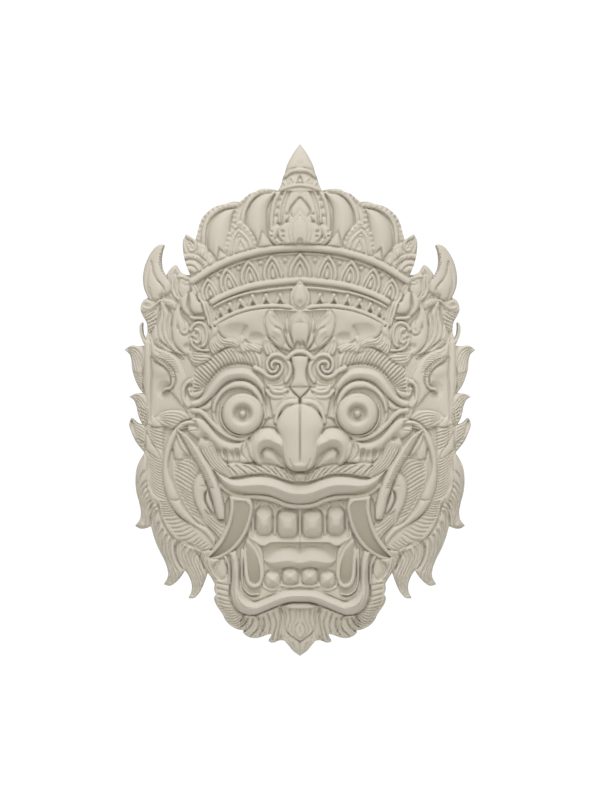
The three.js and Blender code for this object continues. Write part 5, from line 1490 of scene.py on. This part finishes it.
for face in triangles[(count_in == 1) | (count_in == 2)].tolist():
    while not (within[face[0]] and not within[face[2]]):
        face = face[1:] + face[:1]
    i, j, k = face
    if within[j]:
        faces += [[i, j, cut(j, k)], [i, cut(j, k), cut(k, i)]]
    else:
        faces += [[i, cut(i, j), cut(k, i)]]
half = np.vstack([places, np.array(cut_points)])
used = np.unique(faces)
renumber = np.zeros(len(half), int)
renumber[used] = np.arange(len(used))
half, faces = half[used], renumber[np.array(faces)]
print("one half:", len(half), "points,", len(faces), "triangles")

# %% The mirror image
MM = 0.001
mirror_of = np.where(half[:, 0] < TINY, np.arange(len(half)), 0)
off_middle = np.nonzero(half[:, 0] >= TINY)[0]
mirror_of[off_middle] = len(half) + np.arange(len(off_middle))
image = half[off_middle] * (-1, 1, 1)
points = np.vstack([half, image]) * (MM, -MM, MM)
all_faces = np.vstack([faces, mirror_of[faces][:, ::-1]])
print("front of the whole relief:", len(points), "points,", len(all_faces), "triangles")

# %% Wall and back
mesh = bpy.data.meshes.new("rough_mask")
mesh.from_pydata(points.tolist(), [], all_faces.tolist())
work = bmesh.new()
work.from_mesh(mesh)
rim = [edge for edge in work.edges if edge.is_boundary]
sides = bmesh.ops.extrude_edge_only(work, edges=rim)["geom"]
for vertex in (item for item in sides if isinstance(item, bmesh.types.BMVert)):
    vertex.co.y = 0
foot = [edge for edge in work.edges if edge.is_boundary]
bmesh.ops.contextual_create(work, geom=foot)
bmesh.ops.triangulate(work, faces=[face for face in work.faces if len(face.verts) > 4])
bmesh.ops.recalc_face_normals(work, faces=work.faces)
work.to_mesh(mesh)


def open_edges(checked):
    return sum(not edge.is_manifold for edge in checked.edges)


print("whole relief:", len(work.faces), "faces, open edges:", open_edges(work))
work.free()
relief = bpy.data.objects.new("carved_mask", mesh)
bpy.context.scene.collection.objects.link(relief)

# %% [markdown]
# ## Thinning
# Flat places need few triangles, so a Decimate modifier merges those first. A coarser grid would be
# simpler, but it would lose the fine cuts. Then the surface is shaded smooth, with sharp edges only where
# it turns by more than an angle.

# %% Fewer triangles, smooth shading
MOST_TRIANGLES = 190_000
SHARP_ANGLE = 62
mesh.calc_loop_triangles()
thin = relief.modifiers.new("thin", "DECIMATE")
thin.ratio = min(1, MOST_TRIANGLES / len(mesh.loop_triangles))
thin.use_collapse_triangulate = True
evaluated = relief.evaluated_get(bpy.context.evaluated_depsgraph_get())
thinned = bpy.data.meshes.new_from_object(evaluated)
relief.modifiers.clear()
relief.data = thinned
thinned.name = "carved_mask"
check = bmesh.new()
check.from_mesh(thinned)
print("thinned to", len(check.faces), "triangles, open edges:", open_edges(check))
check.free()
for polygon in thinned.polygons:
    polygon.use_smooth = True
thinned.set_sharp_from_angle(angle=math.radians(SHARP_ANGLE))

# %% Painted shade of the tusks and fangs, from the map to the mesh
at = np.empty(3 * len(thinned.vertices))
thinned.vertices.foreach_get("co", at)
at = at.reshape(-1, 3) / MM
columns = np.clip(np.rint(np.abs(at[:, 0]) / STEP).astype(int), 0, U.shape[1] - 1)
rows = np.clip(np.rint((at[:, 2] - z_line[0]) / STEP).astype(int), 0, U.shape[0] - 1)
# Each point takes the painted shade of its place on the map.
marks = thinned.attributes.new("painted_shade", "FLOAT", "POINT")
marks.data.foreach_set("value", painted_shade[rows, columns].astype(np.float32))
print("stained points:", int(painted_shade[rows, columns].sum()))
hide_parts("mask_relief")

# %% [markdown]
# ## The stone
# The mask is one even, warm grey stone. Its colour wanders a little, and a fine bump gives the cut
# surface its grain. The faces of the tusks and fangs get painted shade from their map: a darker, browner
# colour. A photo of stone could be wrapped around it, but noise has no seams and no direction, and it is
# computed from the place on the object itself.

# %% Stone material
STONE_DARK = (0.484, 0.465, 0.434)
STONE_LIGHT = (0.538, 0.517, 0.483)
# The colour of the painted shade on the tusk and fang faces.
STONE_PAINTED_SHADE = (0.38, 0.36, 0.322)
CLOUD_SCALE = 9
CLOUD_DETAIL = 6
GRAIN_SCALE = 900
GRAIN_DETAIL = 3
GRAIN_STRENGTH = 0.12
GRAIN_DEPTH = 0.0004
SMOOTHEST = 0.74
ROUGHEST = 0.92


def two_colours(ramp, low_place, low_colour, high_place, high_colour):
    """Sets a colour ramp from one colour to another."""
    low, high = ramp.color_ramp.elements
    low.position = low_place
    low.color = (*low_colour, 1)
    high.position = high_place
    high.color = (*high_colour, 1)


def stone_material():
    material = bpy.data.materials.new("pale_stone")
    material.use_nodes = True
    nodes, links = material.node_tree.nodes, material.node_tree.links
    shader = nodes["Principled BSDF"]
    where = nodes.new("ShaderNodeTexCoord")
    clouds = nodes.new("ShaderNodeTexNoise")
    clouds.inputs["Scale"].default_value = CLOUD_SCALE
    clouds.inputs["Detail"].default_value = CLOUD_DETAIL
    tint = nodes.new("ShaderNodeValToRGB")
    two_colours(tint, low_place=0.3, low_colour=STONE_DARK, high_place=0.7, high_colour=STONE_LIGHT)
    links.new(where.outputs["Object"], clouds.inputs["Vector"])
    links.new(clouds.outputs["Fac"], tint.inputs["Fac"])
    # The painted shade map darkens the tusk and fang faces towards a browner colour.
    marks = nodes.new("ShaderNodeAttribute")
    marks.attribute_name = "painted_shade"
    painted_shade_mix = nodes.new("ShaderNodeMix")
    painted_shade_mix.data_type = "RGBA"
    painted_shade_mix.inputs["B"].default_value = (*STONE_PAINTED_SHADE, 1)
    links.new(marks.outputs["Fac"], painted_shade_mix.inputs["Factor"])
    links.new(tint.outputs["Color"], painted_shade_mix.inputs["A"])
    links.new(painted_shade_mix.outputs["Result"], shader.inputs["Base Color"])
    grain = nodes.new("ShaderNodeTexNoise")
    grain.inputs["Scale"].default_value = GRAIN_SCALE
    grain.inputs["Detail"].default_value = GRAIN_DETAIL
    pits = nodes.new("ShaderNodeBump")
    pits.inputs["Strength"].default_value = GRAIN_STRENGTH
    pits.inputs["Distance"].default_value = GRAIN_DEPTH
    roughness = nodes.new("ShaderNodeMapRange")
    roughness.inputs["To Min"].default_value = SMOOTHEST
    roughness.inputs["To Max"].default_value = ROUGHEST
    links.new(where.outputs["Object"], grain.inputs["Vector"])
    links.new(grain.outputs["Fac"], pits.inputs["Height"])
    links.new(pits.outputs["Normal"], shader.inputs["Normal"])
    links.new(clouds.outputs["Fac"], roughness.inputs["Value"])
    links.new(roughness.outputs["Result"], shader.inputs["Roughness"])
    return material


relief.data.materials.clear()
relief.data.materials.append(stone_material())
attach(relief, "root")
print("material:", relief.data.materials[0].name)

# %% [markdown]
# ## Floor, light and camera
# A pale floor lies well under the mask. The light comes from a wide lamp high in front, so that the upper
# side of each form is light and its lower side shaded. A smaller warm lamp in front, a little above the
# camera, fills the shade. The room is white behind the mask and dim and warm in front of it. One strong
# lamp alone would make the grooves black, and an even white room would hide the relief.

# %% Floor
FLOOR_HEIGHT = -0.75
FLOOR_NEAR = -0.8
FLOOR_FAR = 2.6
FLOOR_HALF_WIDTH = 2.0
FLOOR_COLOUR = (0.85, 0.85, 0.85)
FLOOR_ROUGHNESS = 0.9


def plain(name, colour, roughness):
    material = bpy.data.materials.new(name)
    material.use_nodes = True
    shader = material.node_tree.nodes["Principled BSDF"]
    shader.inputs["Base Color"].default_value = (*colour, 1)
    shader.inputs["Roughness"].default_value = roughness
    return material


floor_mesh = bpy.data.meshes.new("floor")
floor_corners = [(-FLOOR_HALF_WIDTH, FLOOR_NEAR), (FLOOR_HALF_WIDTH, FLOOR_NEAR),
                 (FLOOR_HALF_WIDTH, FLOOR_FAR), (-FLOOR_HALF_WIDTH, FLOOR_FAR)]
floor_mesh.from_pydata([(x, y, FLOOR_HEIGHT) for x, y in floor_corners], [], [(0, 1, 2, 3)])
floor = bpy.data.objects.new("floor", floor_mesh)
bpy.context.scene.collection.objects.link(floor)
floor.data.materials.append(plain("pale_floor", FLOOR_COLOUR, FLOOR_ROUGHNESS))
print("floor", -FLOOR_HEIGHT, "m under the middle of the mask")


# %% Lamps
def area_light(name, place, size, power, colour):
    """A square lamp that points at the middle of the mask."""
    light = bpy.data.lights.new(name, "AREA")
    light.energy = power
    light.size = size
    light.color = colour
    lamp = bpy.data.objects.new(name, light)
    lamp.location = place
    aim = -np.array(place)
    tilt = math.atan2(math.hypot(aim[0], aim[1]), -aim[2])
    lamp.rotation_euler = (tilt, 0, math.atan2(aim[1], aim[0]) - math.pi / 2)
    bpy.context.scene.collection.objects.link(lamp)
    print("lamp", name, "of", power, "W")


WHITE = (1, 1, 1)
WARM = (1, 0.94, 0.74)
area_light("top", place=(0.0, -2.2, 3.5), size=3.6, power=164, colour=WHITE)
area_light("front", place=(0.0, -3.7, 0.9), size=1.5, power=50, colour=WARM)

# %% The room
DIM_AND_WARM = (0.3, 0.275, 0.22)
ROOM_STRENGTH = 1.05
world = bpy.data.worlds.new("white_room")
world.use_nodes = True
room, room_links = world.node_tree.nodes, world.node_tree.links
direction = room.new("ShaderNodeTexCoord")
split = room.new("ShaderNodeSeparateXYZ")
shade = room.new("ShaderNodeValToRGB")
two_colours(shade, low_place=0.1, low_colour=DIM_AND_WARM, high_place=0.7, high_colour=WHITE)
room_links.new(direction.outputs["Generated"], split.inputs["Vector"])
room_links.new(split.outputs["Y"], shade.inputs["Fac"])
room_links.new(shade.outputs["Color"], room["Background"].inputs["Color"])
room["Background"].inputs["Strength"].default_value = ROOM_STRENGTH
bpy.context.scene.world = world
bpy.context.scene.view_settings.view_transform = "Standard"
print("room:", world.name)

# %% Camera
PICTURE_HEIGHT = 0.8
PICTURE_PLANE_Y = -0.04
LENS = 150
SENSOR_HEIGHT = 36
camera_data = bpy.data.cameras.new("camera")
camera_data.lens = LENS
camera_data.sensor_fit = "VERTICAL"
camera_data.sensor_height = SENSOR_HEIGHT
camera_data.clip_end = 50
camera = bpy.data.objects.new("camera", camera_data)
camera.location = (0, PICTURE_PLANE_Y - PICTURE_HEIGHT * LENS / SENSOR_HEIGHT, 0)
camera.rotation_euler = (math.pi / 2, 0, 0)
bpy.context.scene.collection.objects.link(camera)
bpy.context.scene.camera = camera
print("camera", round(-camera.location.y, 2), "m in front of the back")
